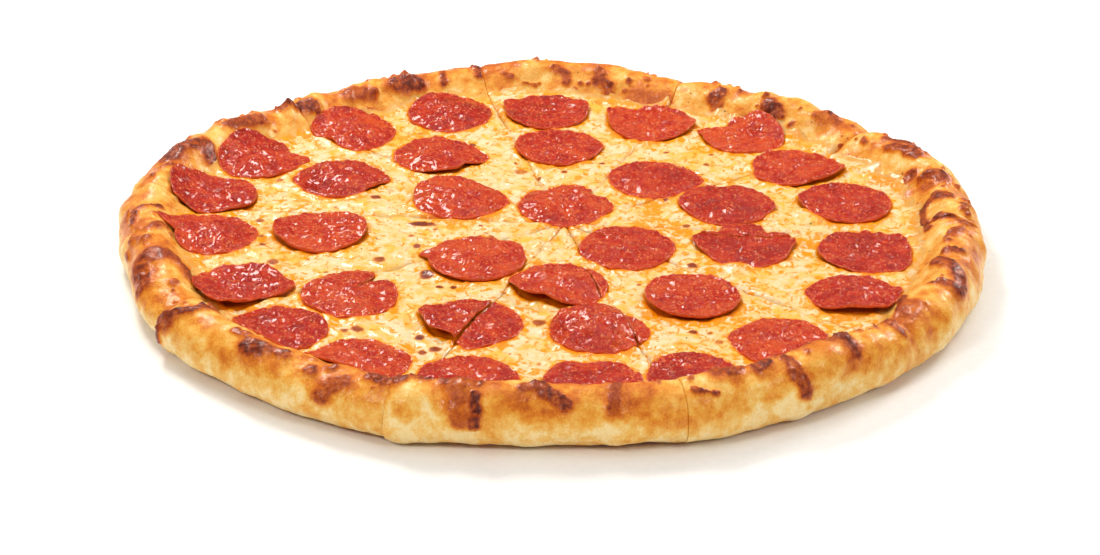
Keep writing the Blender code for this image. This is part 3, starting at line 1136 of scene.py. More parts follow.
    def build(self, number: int, discs: list) -> tuple[bpy.types.Object, np.ndarray, dict]:
        """Makes one slice's cheese.

        Args:
            number: Which slice, from 0.
            discs: The pepperoni that lies on the pizza.

        Returns:
            The object, the grid of its top, and the top's attributes.
        """
        bearing = self.outline.slice_bearings(number, self.columns)[:, None]
        far = self.outline.edge(bearing) - self.film_limit(bearing) + 1.0 * MM
        outward = np.linspace(0.006, 1.0, self.rows)
        reach = far * outward
        bearings = np.broadcast_to(bearing, reach.shape)
        height, layers = self.surface(bearings, reach, discs)
        height = self.on_crust(bearings, reach, height)
        below = np.array((0.01, 0.3, 0.6, 0.85, 0.93, 0.97, 1.0))
        low_reach = far * below
        low_bearings = np.broadcast_to(bearing, low_reach.shape)
        slope = self.crust.slope_height(low_bearings, low_reach)
        low_height = np.maximum(self.on_crust(low_bearings, low_reach, slope) - 0.9 * MM, self.floor)
        low_height[:, -1] = height[:, -1] - 0.35 * MM
        top = self.outline.placed(bearings, reach, height)
        bottom = self.outline.placed(low_bearings, low_reach, low_height)
        grid = np.concatenate((bottom, top[:, ::-1]), axis=1)
        grid = self.outline.drawn_in(grid, number, self.half_gap, 2.0 * MM)
        whole = {
            name: np.concatenate((0.0 * low_height, values[:, ::-1]), axis=1)
            for name, values in layers.items()
        }
        low = self.outline.tip(number, self.half_gap, self.floor)
        high = self.outline.tip(number, self.half_gap, height[:, 0].mean())
        thing = closed_wedge(f"melted_cheese_{number + 1:02d}", grid, low, high, whole)
        return thing, top, layers

    def bed(self) -> bpy.types.Object:
        """A coarse sheet of the plain surface, to lay the pepperoni on.

        Returns:
            The sheet, which is removed again.
        """
        bearing = np.linspace(0.0, math.tau, 361)[:, None]
        share = np.linspace(0.004, 0.97, 150)
        reach = self.outline.edge(bearing) * share
        bearings = np.broadcast_to(bearing, reach.shape)
        height = self.plain_height(bearings, reach)
        height = self.on_crust(bearings, reach, height)
        height = np.maximum(height, self.crust.slope_height(bearings, reach))
        points = self.outline.placed(bearings, reach, height)
        return mesh_object("bed", points.reshape(-1, 3), grid_faces(*reach.shape), {})


@dataclass(frozen=True)
class Curl:
    """How one disc of pepperoni curled in the oven, in millimetres and degrees.

    Attributes:
        dome: How far the middle stands up, or how far the edge does where it is negative.
        saddle: How far two opposite sides stand up, on the line at saddle_at.
        lift: How far one side stands up, the one at lift_at.
        bumps: Where the outline runs out or in: at which angle, how far and how broadly.
        parted: The numbers of the cuts that show as slits.
        slit: The width of those slits.
        step: How much lower the piece on the far side of a slit lies.
        shift: How far across from its cut a slit lies, where the slice moved under the knife.
        wrinkle: The height of the wrinkles.
        near_oil_and_shadow: How much wider the oil halo is at its near side: oil that has run out there,
            and painted shadow.
    """

    dome: float = 0.9
    saddle: float = 0.3
    saddle_at: float = 0.0
    lift: float = 0.0
    lift_at: float = 0.0
    bumps: tuple[tuple[float, float, float], ...] = ()
    parted: tuple[int, ...] = ()
    slit: float = 0.5
    step: float = 0.0
    wrinkle: float = 0.7
    near_oil_and_shadow: float = 0.6
    shift: float = 0.0


CURLS = (
    Curl(2.0, 0.6, 150, 0.8, 30, ((-75, 2.4, 16), (-129, -6.5, 30), (-150, -1.5, 10)), near_oil_and_shadow=0.4),
    Curl(2.2, 0.8, 20, bumps=((-85, 1.6, 12), (20, 1.2, 18)), near_oil_and_shadow=0.5),
    Curl(-0.6, 1.2, 10, bumps=((155, 2.8, 14), (25, 2.2, 14), (90, -1.2, 25)), near_oil_and_shadow=0.8),
    Curl(-0.6, 0.6, 20, bumps=((5, 1.6, 15), (150, 0.8, 20)), near_oil_and_shadow=0.6),
    Curl(0.3, 2.4, 165, bumps=((152, 3.6, 12), (0, 1.8, 16), (112, -2.8, 12)), near_oil_and_shadow=1.0),
    Curl(1.0, 1.4, 30, 1.6, 50, ((163, 3.2, 8), (126, -5.6, 18), (90, -2.4, 12), (-80, -1.6, 26)),
         wrinkle=1.3),
    Curl(0.8, 1.8, 150, 1.2, -50, ((0, 2.2, 16), (-150, 2.2, 14), (-60, -1.6, 30))),
    Curl(1.4, 1.0, 120, 0.0, 110, ((105, 0.8, 13), (4, 3.6, 11), (36, -4.2, 12), (150, -1.2, 20)),
         wrinkle=1.1),
    Curl(1.2, 1.8, 0, 1.4, -85, ((-30, 1.6, 20), (165, 1.8, 18), (80, -2.2, 22)), wrinkle=0.9),
    Curl(3.6, 0.8, 0, 1.4, -35, ((180, 2.4, 13), (0, 2.6, 12), (-40, -1.6, 14)), near_oil_and_shadow=0.9),
    Curl(2.0, 1.2, 100, 1.6, -50, ((-5, 3.8, 16), (-42, -2.6, 13), (160, 1.0, 20)), wrinkle=0.9),
    Curl(2.8, 1.2, 0, 2.8, 125, ((52, -4.8, 20), (122, 1.6, 18), (-6, 2.4, 16)), wrinkle=0.9, near_oil_and_shadow=1.6),
    Curl(1.8, 0.8, 30, bumps=((119, -6.5, 7), (35, -7.0, 9), (-2, 2.0, 16), (-90, 1.8, 14),
         (80, 1.2, 14)), wrinkle=1.3),
    Curl(1.6, 0.6, 20, bumps=((0, 2.4, 18), (-45, -1.8, 22), (160, 0.8, 20)), near_oil_and_shadow=0.9),
    Curl(1.6, 2.0, 0, 0.8, 100, ((97, -4.4, 8), (-5, 1.0, 18), (185, 1.0, 18)), near_oil_and_shadow=0.8),
    Curl(-1.0, 0.4, 0, bumps=((170, 1.4, 16),), near_oil_and_shadow=0.9, wrinkle=0.9),
    Curl(2.4, 0.6, 140, 0.8, 178, ((178, 4.6, 10), (-156, -2.6, 13), (146, -1.2, 14), (10, 0.8, 20)),
         near_oil_and_shadow=1.4),
    Curl(0.6, 2.8, 10, 0.8, -90, ((93, -2.0, 14), (60, 1.0, 16)), near_oil_and_shadow=0.9, wrinkle=0.9),
    Curl(1.8, 1.4, 20, 1.5, -80, ((170, 4.2, 8), (58, -4.0, 6), (36, 1.8, 11), (80, 1.2, 10)), near_oil_and_shadow=1.4),
    Curl(0.9, 0.5, 150, bumps=((150, -1.0, 20), (-70, 1.0, 24)), parted=(9,), slit=0.2, near_oil_and_shadow=0.5),
    Curl(0.6, 1.6, 0, 0.6, 90, ((163, 2.4, 12), (14, 2.4, 12), (-150, -1.4, 16), (130, -4.2, 11),
         (50, -4.2, 11)),
         (0,), 0.5, -0.2, 0.9, shift=-7.6),
    Curl(0.6, 1.6, 20, 0.6, 85, ((35, 2.4, 12), (-40, 1.8, 16), (120, 2.6, 8), (84, 1.8, 9)),
         (0,), 0.3, 0.4, 0.9, shift=-1.0),
    Curl(0.5, 2.4, 60, 2.6, -55, ((5, 3.4, 16), (-50, -4.2, 26), (118, 1.8, 18), (-115, 1.4, 14)),
         near_oil_and_shadow=0.9),
    Curl(1.6, 0.9, 20, 1.4, 120, ((-130, -1.6, 18), (-25, 1.4, 20), (50, -17.0, 6.5), (70, 2.0, 9),
         (32, 1.2, 8)), near_oil_and_shadow=0.9),
    Curl(2.2, 1.8, 10, 3.2, -115, ((170, 2.0, 13), (-118, -3.2, 18), (-60, 1.6, 16)), (8,),
         0.8, 0.8, 1.0, shift=-3.6),
    Curl(-1.3, 0.6, 0, 1.0, 180, ((-45, 0.8, 30),), near_oil_and_shadow=2.2, wrinkle=1.0),
    Curl(1.4, 2.0, 90, 1.5, -95, ((15, 2.2, 16), (90, -4.0, 38), (-90, -2.4, 30), (175, 1.4, 16)),
         near_oil_and_shadow=1.2),
    Curl(1.1, 0.7, 60, bumps=((-80, 1.0, 20), (140, 0.8, 24)), near_oil_and_shadow=0.3),
    Curl(1.6, 0.9, 30, 3.4, -160, ((162, 3.4, 12), (-125, -4.0, 17), (-92, 2.8, 10)), (7,),
         0.6, 1.1, near_oil_and_shadow=0.9),
    Curl(4.2, 0.6, 0, 2.6, 110, ((-5, 2.2, 22), (50, -1.6, 12)), (8,), 0.8, 2.6, near_oil_and_shadow=1.3),
    Curl(1.3, 0.8, 80, bumps=((60, 1.4, 16), (170, 1.4, 16)), near_oil_and_shadow=0.5),
    Curl(1.2, 0.6, 0, bumps=((178, 2.0, 18), (15, 1.6, 18)), near_oil_and_shadow=0.4),
    Curl(1.3, 0.6, 20, bumps=((150, 1.0, 20),), near_oil_and_shadow=0.4),
    Curl(1.2, 1.6, 0, bumps=((98, -2.2, 12), (130, 1.0, 18)), near_oil_and_shadow=0.4, wrinkle=1.0),
    Curl(1.0, 0.7, 120, bumps=((-160, 1.4, 18),), near_oil_and_shadow=0.4),
)


@dataclass
class Disc:
    """One disc of pepperoni: its place and outline, read from the frame's node, and its curl.

    Attributes:
        number: Which disc, from 0.
        centre: Its middle in plan.
        radii: Its outline's reach from the middle, evenly spaced round.
        curl: How it curled.
    """

    number: int
    centre: np.ndarray
    radii: np.ndarray
    curl: Curl

    @classmethod
    def from_node(cls, number: int, node: bpy.types.Object, lumps: Lumps) -> "Disc":
        """Reads a disc's plan from its node and roughens its outline.

        Args:
            number: Which disc, from 0.
            node: The frame's node.
            lumps: The noise that roughens the outline.

        Returns:
            The disc.
        """
        plan = np.unique(np.round(points_of(node)[:, :2], 6), axis=0)
        middle = plan.mean(axis=0)
        centre = plan[np.argmin(np.hypot(*(plan - middle).T))]
        off = plan - centre
        reach, turn = np.hypot(*off.T), np.arctan2(off[:, 1], off[:, 0])
        rim = np.argsort(reach)[-(len(plan) // 2):]
        turns = np.linspace(0.0, math.tau, 360, endpoint=False)
        radii = np.interp(turns, turn[rim] % math.tau, reach[rim], period=math.tau)
        window = np.exp(-((np.arange(-20, 21) / 9.0) ** 2))
        wrapped = np.concatenate((radii[-20:], radii, radii[:20]))
        radii = 1.008 * np.convolve(wrapped, window / window.sum(), mode="valid")
        curl = CURLS[number]
        ring = MM * np.stack((np.cos(turns), np.sin(turns), 0.0 * turns + 3.0 * number), axis=-1)
        radii *= 1.0 + lumps.layered(ring, ((1.1, 0.030), (0.45, 0.020), (0.16, 0.009)))
        for at, out, broad in curl.bumps:
            off_bump = turned(turns - math.radians(at)) / math.radians(broad)
            radii += out * MM * np.exp(-(off_bump**2))
        return cls(number, centre, radii, curl)

    @property
    def tone(self) -> float:
        """How much darker or paler than the rest it is, from -1 to 1."""
        return math.sin(5.3 * self.number)

    @property
    def radius(self) -> float:
        """The mean radius in plan."""
        return float(self.radii.mean())

    def radius_at(self, turn: np.ndarray) -> np.ndarray:
        """The outline's reach from the middle at an angle."""
        return through(self.radii, turn / math.tau * len(self.radii))


@dataclass
class Pepperoni:
    """The discs of pepperoni. Geometry Nodes lay each flat disc on the cheese and curl it.

    Attributes:
        outline: The plan.
        thickness: Of a slice of the sausage.
        edge_round: How far in from its edge a slice reaches its full thickness.
        rest: The gap between a slice and what it lies on.
        bow: How much more than its curl says the middle or the whole edge stands up.
        bend: How much more than its curl says two opposite sides stand up.
        sides: Points round a slice.
        rings: The reach of each ring of points, as a share of the outline's.
    """

    outline: Outline
    thickness: float = 1.3 * MM
    edge_round: float = 0.5 * MM
    rest: float = 0.1 * MM
    bow: float = 1.3
    bend: float = 1.2
    sides: int = 110
    rings: tuple = (
        0.04, *(0.08 + 0.05 * step for step in range(16)), 0.87, 0.91, 0.94, 0.96, 0.975, 0.986, 0.994, 1.0,
    )

    def flat_sheet(self, disc: Disc) -> bpy.types.Object:
        """A disc's flat outline, parted where the cuts cross it.

        Args:
            disc: The disc.

        Returns:
            An object with the attributes inset, the distance to the nearest edge, lower, how far it
            lies below the rest, and tone.
        """
        form = bmesh.new()
        turns = np.linspace(0.0, math.tau, self.sides, endpoint=False)
        arms = (disc.radius_at(turns) * (np.cos(turns), np.sin(turns))).T
        hub = form.verts.new((*disc.centre, 0.0))
        rings = [
            [form.verts.new((*(disc.centre + share * arm), 0.0)) for arm in arms]
            for share in self.rings
        ]
        for side in range(self.sides):
            after = (side + 1) % self.sides
            form.faces.new((hub, rings[0][side], rings[0][after]))
            for inner, outer in zip(rings, rings[1:]):
                form.faces.new((inner[side], outer[side], outer[after], inner[after]))
        shift, slit, step = (part * MM for part in (disc.curl.shift, disc.curl.slit, disc.curl.step))
        crossed = [self.outline.across_cut(number) for number in disc.curl.parted]
        for across in crossed:
            normal = Vector((*across, 0.0))
            self._part(form, Vector((*self.outline.crossing, 0.0)) + normal * shift, normal, slit)
        form.verts.index_update()
        plan = np.array([vertex.co[:2] for vertex in form.verts])
        faces = [[vertex.index for vertex in face.verts] for face in form.faces]
        form.free()
        off = plan - disc.centre
        inset = disc.radius_at(np.arctan2(off[:, 1], off[:, 0])) - np.hypot(*off.T)
        lower = np.zeros(len(plan))
        for across in crossed:
            away = (plan - self.outline.crossing) @ across - shift
            inset = np.minimum(inset, np.abs(away) - slit / 2.0)
            beyond = away * ((disc.centre - self.outline.crossing) @ across - shift) < 0.0
            lower[beyond] = step
        inset[inset < 0.004 * MM] = 0.0
        layers = {"inset": inset, "lower": lower, "tone": np.full(len(plan), disc.tone)}
        flat = np.column_stack((plan, np.zeros(len(plan))))
        return mesh_object(f"pepperoni_curl_{disc.number + 1:02d}", flat, faces, layers)

    def _part(self, form: bmesh.types.BMesh, crossing: Vector, normal: Vector, slit: float) -> None:
        """Takes a narrow strip out of a flat sheet along a cut.

        Args:
            form: The sheet.
            crossing: A point on the cut.
            normal: The direction across it.
            slit: The strip's width.
        """
        for side in (-0.5, 0.5):
            plane = crossing + normal * (side * slit)
            whole = [*form.verts, *form.edges, *form.faces]
            bmesh.ops.bisect_plane(form, geom=whole, dist=1e-7, plane_co=plane, plane_no=normal)
        strip = [
            face for face in form.faces
            if abs((face.calc_center_median() - crossing).dot(normal)) < 0.48 * slit
        ]
        bmesh.ops.delete(form, geom=strip, context="FACES")

    def tree(self) -> bpy.types.NodeTree:
        """Builds the node tree that lays, curls and thickens a flat sheet.

        Returns:
            The tree.
        """
        floats = (
            "Radius", "Thickness", "Edge Round", "Rest", "Dome", "Cup", "Saddle", "Saddle Angle",
            "Lift", "Lift Angle", "Wrinkle", "Seed",
        )
        sockets = {"Geometry": "Geometry", "Bed": "Object", "Centre": "Vector", "Finish": "Material"}
        noise, in_four = "ShaderNodeTexNoise", {"noise_dimensions": "4D"}
        carried, move = "GeometryNodeInputNamedAttribute", "GeometryNodeSetPosition"
        split, point = "ShaderNodeSeparateXYZ", "ShaderNodeCombineXYZ"
        steps = {
            "place": ("GeometryNodeInputPosition",),
            "offset": ("ShaderNodeVectorMath", ("place", "Centre"), {"operation": "SUBTRACT"}),
            "part": (split, ("offset",)),
            "reach": ("ShaderNodeVectorMath", ("offset",), {"operation": "LENGTH"}),
            "share": ("DIVIDE", "reach", "Radius"),
            "square": ("MULTIPLY", "share", "share"),
            "angle": ("ARCTAN2", "part.Y", "part.X"),
            "bed": ("GeometryNodeObjectInfo", {"Object": "Bed"}, ORIGINAL),
            "above": ("ShaderNodeVectorMath", ("place", (0.0, 0.0, 0.1)), {"operation": "ADD"}),
            "hit": (
                "GeometryNodeRaycast",
                {
                    "Target Geometry": "bed.Geometry", "Source Position": "above",
                    "Ray Direction": (0.0, 0.0, -1.0), "Ray Length": 1.0,
                },
            ),
            "ground": (split, ("hit.Hit Position",)),
            "dome": ("MULTIPLY", "Dome", ("SUBTRACT", 1.3, ("MULTIPLY", "square", 1.5))),
            "cup": ("MULTIPLY", "Cup", ("POWER", "share", 3.0)),
            "swing": ("COSINE", ("SUBTRACT", "angle", "Saddle Angle")),
            "saddle": ("MULTIPLY", ("MULTIPLY", "Saddle", "square"), ("MULTIPLY", "swing", "swing")),
            "side": ("MULTIPLY", "share", ("COSINE", ("SUBTRACT", "angle", "Lift Angle"))),
            "raised": (SPAN, ("side", 0.15, 1.0), {"interpolation_type": "SMOOTHERSTEP"}),
            "lift": ("MULTIPLY", "Lift", "raised"),
            "broad": (
                noise, {"Vector": "place", "W": "Seed", "Scale": 1.0 / (11.0 * MM), "Detail": 1.0}, in_four,
            ),
            "narrow": (
                noise,
                {
                    "Vector": "place", "W": "Seed", "Scale": 1.0 / (4.6 * MM), "Detail": 2.0,
                    "Distortion": 1.0,
                },
                in_four,
            ),
            "rolls": ("MULTIPLY", ("MULTIPLY", ("SUBTRACT", "broad", 0.45), 5.0 * MM), "Wrinkle"),
            "wave": ("MULTIPLY", "rolls", ("SUBTRACT", 1.0, ("MULTIPLY", "square", 0.6))),
            "crease": ("MULTIPLY", ("SUBTRACT", "narrow", 0.5), 4.2 * MM),
            "curls": ("ADD", ("ADD", "dome", "cup"), ("ADD", "saddle", "lift")),
            "held": ("SMOOTH_MAX", ("SUBTRACT", ("ADD", "curls", "wave"), 0.35 * MM), 0.0, 0.8 * MM),
            "risen": ("MAXIMUM", ("SUBTRACT", "held", (carried, {"Name": "lower"}, ONE_FLOAT)), 0.0),
            "under": ("ADD", ("ADD", "ground.Z", "Rest"), "risen"),
            "in_share": ("DIVIDE", (carried, {"Name": "inset"}, ONE_FLOAT), "Edge Round"),
            "from_full": ("SUBTRACT", 1.0, ("ShaderNodeClamp", ("in_share",))),
            "fullness": ("SQRT", ("SUBTRACT", 1.0, ("MULTIPLY", "from_full", "from_full"))),
            "half": ("MULTIPLY", ("MULTIPLY", "Thickness", "fullness"), 0.5),
            "middle": ("ADD", "under", ("MULTIPLY", "Thickness", 0.5)),
            "top": ("ADD", ("ADD", "middle", "half"), ("MULTIPLY", "crease", "fullness")),
            "low": ("SUBTRACT", "middle", "half"),
            "plan": (split, ("place",)),
            "top_sheet": (
                move, {"Geometry": "Geometry", "Position": (point, ("plan.X", "plan.Y", "top"))}
            ),
            "low_sheet": (
                move, {"Geometry": "Geometry", "Position": (point, ("plan.X", "plan.Y", "low"))}
            ),
            "turned": ("GeometryNodeFlipFaces", {"Mesh": "low_sheet"}),
            "joined": ("GeometryNodeJoinGeometry", {"Geometry": ["top_sheet", "turned"]}),
            "shape": ("GeometryNodeMergeByDistance", {"Geometry": "joined", "Distance": 0.01 * MM}),
        }
        return grown_tree("curled_sausage_slice", sockets | dict.fromkeys(floats, "Float"), steps)

    def build(
        self, discs: list[Disc], bed: bpy.types.Object, finish: bpy.types.Material
    ) -> list[bpy.types.Object]:
        """Makes every disc.

        Args:
            discs: The discs.
            bed: The plain surface that they lie on.
            finish: The sausage's material.

        Returns:
            The finished pieces, in order.
        """
        tree = self.tree()
        pieces = [self.flat_sheet(disc) for disc in discs]
        for disc, piece in zip(discs, pieces):
            curl = disc.curl
            values = {
                "Bed": bed, "Centre": (*disc.centre, 0.0), "Radius": disc.radius,
                "Thickness": self.thickness, "Edge Round": self.edge_round, "Rest": self.rest,
                "Dome": max(curl.dome, 0.0) * self.bow * MM, "Cup": max(-curl.dome, 0.0) * self.bow * MM,
                "Saddle": curl.saddle * self.bend * MM, "Saddle Angle": math.radians(curl.saddle_at),
                "Lift": curl.lift * MM, "Lift Angle": math.radians(curl.lift_at),
                "Wrinkle": curl.wrinkle, "Seed": 0.37 * disc.number, "Finish": finish,
            }
            use_tree(piece, tree, values)
        make_plain(pieces)
        bpy.data.node_groups.remove(tree)
        return pieces


@dataclass(frozen=True)
class Strewn:
    """One kind of small thing that lies about on the pizza.

    Attributes:
        name: The piece's name.
        amount: How many, at most, to a square metre.
        smallest: The least radius.
        largest: The greatest radius.
        flatness: Height over width.
        layer: The attribute of the ground that says how thickly they lie.
        detail: Times that the small ball's faces are divided.
        slot: The record's slot.
        sink: How deep it sits, as a share of its radius.
    """

    name: str
    amount: float
    smallest: float
    largest: float
    flatness: float
    layer: str
    detail: int
    slot: Slot
    sink: float = 0.1

    def build(self, ground: bpy.types.Object, finish: bpy.types.Material, seed: int) -> bpy.types.Object:
        """Strews the small things over the ground by Geometry Nodes.

        Args:
            ground: The surface that they lie on.
            finish: Their material.
            seed: What their places and sizes are drawn from.

        Returns:
            The finished piece.
        """
        floats = {
            "Amount": self.amount, "Smallest": self.smallest, "Largest": self.largest,
            "Flatness": self.flatness, "Sink": self.sink,
        }
        sockets = {"Ground": "Object", "Seed": "Int", "Finish": "Material"}
        drawn, vectors = "FunctionNodeRandomValue", "ShaderNodeVectorMath"
        steps = {
            "surface": ("GeometryNodeObjectInfo", {"Object": "Ground"}, ORIGINAL),
            "carried": ("GeometryNodeInputNamedAttribute", {"Name": self.layer}, ONE_FLOAT),
            "density": ("MULTIPLY", "carried", "Amount"),
            "spots": (
                "GeometryNodeDistributePointsOnFaces",
                {"Mesh": "surface.Geometry", "Density": "density", "Seed": "Seed"},
            ),
            "ball": ("GeometryNodeMeshIcoSphere", {"Radius": 1.0, "Subdivisions": self.detail}),
            "size": (drawn, {2: "Smallest", 3: "Largest", 8: "Seed"}, ONE_FLOAT),
            "length": ("MULTIPLY", "size", (drawn, {2: 0.75, 3: 1.5, 8: 3}, ONE_FLOAT)),
            "high": ("MULTIPLY", "size", "Flatness"),
            "drop": ("MULTIPLY", "high", "Sink"),
            "down": (vectors, {0: "spots.Normal", "Scale": "drop"}, {"operation": "SCALE"}),
            "lowered": (vectors, ((0.0, 0.0, 0.0), "down"), {"operation": "SUBTRACT"}),
            "sunk": ("GeometryNodeSetPosition", {"Geometry": "spots.Points", "Offset": "lowered"}),
            "spin": ("ShaderNodeCombineXYZ", {"Z": (drawn, {2: 0.0, 3: math.tau, 8: 5}, ONE_FLOAT)}),
            "spun": ("FunctionNodeRotateRotation", ("spots.Rotation", "spin"), {"rotation_space": "LOCAL"}),
            "scale": ("ShaderNodeCombineXYZ", ("length", "size", "high")),
            "shape": (
                "GeometryNodeInstanceOnPoints",
                {"Points": "sunk", "Instance": "ball", "Rotation": "spun", "Scale": "scale"},
            ),
        }
        tree = grown_tree(self.name, sockets | dict.fromkeys(floats, "Float"), steps)
        thing = mesh_object(self.name, np.zeros((0, 3)), [], {})
        use_tree(thing, tree, floats | {"Ground": ground, "Seed": seed, "Finish": finish})
        make_plain([thing])
        bpy.data.node_groups.remove(tree)
        return thing


@dataclass(frozen=True)
class Finish:
    """A finish: noises in the object's own space, shares made of them, and coats of colour.

    Attributes:
        name: The material's name.
        first: The lowest coat's colour, or the name of a ramp.
        coats: The share and the colour or ramp of each further coat, in order.
        gloss: The shader's other sockets.
        reads: The mesh's float attributes that it reads.
        noises: Each noise's name, grain in millimetres, octaves, roughness and distortion.
        steps: Further nodes by name, as worked_out takes them.
        ramps: The places and colours of each ramp among the steps, by name.
        bumps: The height, strength and reach in millimetres of each bump, the finest first.
    """

    name: str
    first: str
    coats: tuple[tuple[str, str], ...]
    gloss: dict
    reads: tuple[str, ...] = ()
    noises: tuple[tuple, ...] = ()
    steps: dict = field(default_factory=dict)
    ramps: dict = field(default_factory=dict)
    bumps: tuple[tuple, ...] = ()

    def material(self) -> bpy.types.Material:
        """Builds the material.

        Returns:
            The material.
        """
        material = bpy.data.materials.new(self.name)
        material.use_nodes = True
        tree = material.node_tree
        tree.nodes.clear()
        known = {"place": add_node(tree, "ShaderNodeTexCoord").outputs["Object"]}
        for name in self.reads:
            known[name] = add_node(tree, "ShaderNodeAttribute", attribute_name=name).outputs["Fac"]
        for name, grain_mm, octaves, roughness, distortion in self.noises:
            inputs = {
                "Vector": known["place"], "Scale": 1.0 / (grain_mm * MM), "Detail": octaves,
                "Roughness": roughness, "Distortion": distortion,
            }
            known[name] = add_node(tree, "ShaderNodeTexNoise", inputs)
        for name, value in self.steps.items():
            known[name] = worked_out(tree, known, value)
        for name, stops in self.ramps.items():
            set_ramp(known[name], stops)
        colour = worked_out(tree, known, self.first)
        for share, coat in self.coats:
            inputs = {0: known[share], 6: colour, 7: worked_out(tree, known, coat)}
            colour = add_node(tree, "ShaderNodeMix", inputs, data_type="RGBA")
        shading = {"Base Color": colour}
        for height, strength, reach_mm in self.bumps:
            finer = {"Normal": shading["Normal"]} if "Normal" in shading else {}
            inputs = {"Height": known[height], "Strength": strength, "Distance": reach_mm * MM}
            shading["Normal"] = add_node(tree, "ShaderNodeBump", inputs | finer)
        for socket, value in self.gloss.items():
            shading[socket] = worked_out(tree, known, value)
        shader = add_node(tree, "ShaderNodeBsdfPrincipled", shading)
        add_node(tree, "ShaderNodeOutputMaterial", {"Surface": shader})
        return material


# Oven-baked wheat dough, brushed with garlic butter. It gives the eye a golden skin that runs from
# pale, where the dough was shaded, to nearly black on the blisters, with a broken buttery gloss. The
# bake that it reads also holds painted shade in the skin's hollows and painted light on its lumps.
DOUGH = Finish(
    name="oven_baked_dough",
    reads=("bake",),
    noises=(
        ("mottle", 4.5, 6.0, 0.65, 0.0), ("speckle", 0.9, 3.0, 0.60, 0.0),
        ("grain", 0.55, 4.0, 0.62, 0.0), ("skin", 1.9, 3.0, 0.50, 1.2),
    ),
    steps={
        "shift": (SPAN, ("mottle", 0.30, 0.70, -0.10, 0.12)),
        "fleck": (SPAN, ("speckle", 0.35, 0.70, -0.05, 0.09)),
        "browned": ("ADD", ("ADD", "bake", "shift"), "fleck"),
        "baked": ("ShaderNodeClamp", ("browned",)),
        "skin_colour": ("ShaderNodeValToRGB", ("baked",)),
        "dull": (SPAN, ("mottle", 0.35, 0.65, 0.34, 0.58)),
        "ripple": ("ShaderNodeBump", {"Height": "skin", "Strength": 0.45, "Distance": 0.50 * MM}),
    },
    ramps={
        "skin_colour": (
            (0.00, "#FBDC9C"), (0.16, "#F4C062"), (0.32, "#EA9E36"), (0.48, "#D8781C"),
            (0.62, "#C05C14"), (0.75, "#A0400E"), (0.87, "#7A2A08"), (1.00, "#501705"),
        ),
    },
    first="skin_colour",
    coats=(),
    bumps=(("grain", 0.45, 0.25), ("skin", 0.60, 0.60)),
    gloss={
        "Roughness": "dull", "Coat Normal": "ripple", "Coat Weight": 0.27, "Coat Roughness": 0.12,
        "Subsurface Weight": 0.12, "Subsurface Radius": (3.0 * MM, 1.4 * MM, 0.6 * MM),
        "Subsurface Scale": 1.0, "Specular IOR Level": 0.15,
    },
)

# Melted mozzarella with the sausage's orange oil in its hollows. It gives the eye a translucent
# cream that turns yellow where it is thin, orange where oil lies, and brown on the blisters, with a
# moist sheen. Its orange oil is also painted shade in the billows' hollows and painted shadow on the
# near side of each disc. Its coats: butter yellow, flecks of oil, pools of oil with that painted
# shade and shadow, scorch, thin film and cut side.
MOZZARELLA = Finish(
    name="melted_mozzarella",
    reads=("oil", "toast", "seam", "thin"),
    noises=(
        ("patches", 7.5, 4.0, 0.60, 0.8), ("flecks", 3.4, 4.0, 0.62, 0.8), ("grain", 0.8, 4.0, 0.60, 0.0),
    ),
    steps={
        "yellow": (SPAN, ("patches", 0.40, 0.62)),
        "wet": ("ADD", "flecks", ("MULTIPLY", "oil", 0.36)),
        "flecked": (SPAN, ("wet", 0.572, 0.612)),
        # Painted shade and shadow: the pools follow the oil, which is stronger in the billows' hollows and
        # on each disc's near side.
        "pool": ("MULTIPLY_ADD", ("SUBTRACT", "flecks", 0.5), 0.8, "oil"),
        "pooled_oil_and_shade": (SPAN, ("pool", 0.42, 1.05), {"interpolation_type": "SMOOTHSTEP"}),
        "ragged": ("MULTIPLY_ADD", ("SUBTRACT", "flecks", 0.5), 0.7, "toast"),
        "scorch": ("ShaderNodeValToRGB", ("ragged",)),
        "burnt": (SPAN, ("toast", 0.08, 0.42)),
        "worn": ("MULTIPLY_ADD", ("SUBTRACT", "patches", 0.5), 1.6, "thin"),
        "thinned": (SPAN, ("worn", 0.25, 0.95)),
        "cut": ("MULTIPLY", "seam", 0.55),
        "dull": (SPAN, ("wet", 0.40, 0.80, 0.42, 0.16)),
    },
    ramps={"scorch": ((0.0, "#EFA63A"), (0.35, "#CE7418"), (0.65, "#8E340A"), (1.0, "#431204"))},
    first="#E8D3A6",
    coats=(
        ("yellow", "#EBB542"), ("flecked", "#EE9400"), ("pooled_oil_and_shade", "#EA7206"),
        ("burnt", "scorch"), ("thinned", "#DEA14A"), ("cut", "#B5702A"),
    ),
    bumps=(("grain", 0.28, 0.30), ("flecks", 0.75, 1.00)),
    gloss={
        "Roughness": "dull", "Coat Weight": 0.34, "Coat Roughness": 0.08, "Specular IOR Level": 0.2,
        "Subsurface Weight": 0.15, "Subsurface Radius": (2.4 * MM, 1.4 * MM, 0.6 * MM),
        "Subsurface Scale": 1.0,
    },
)
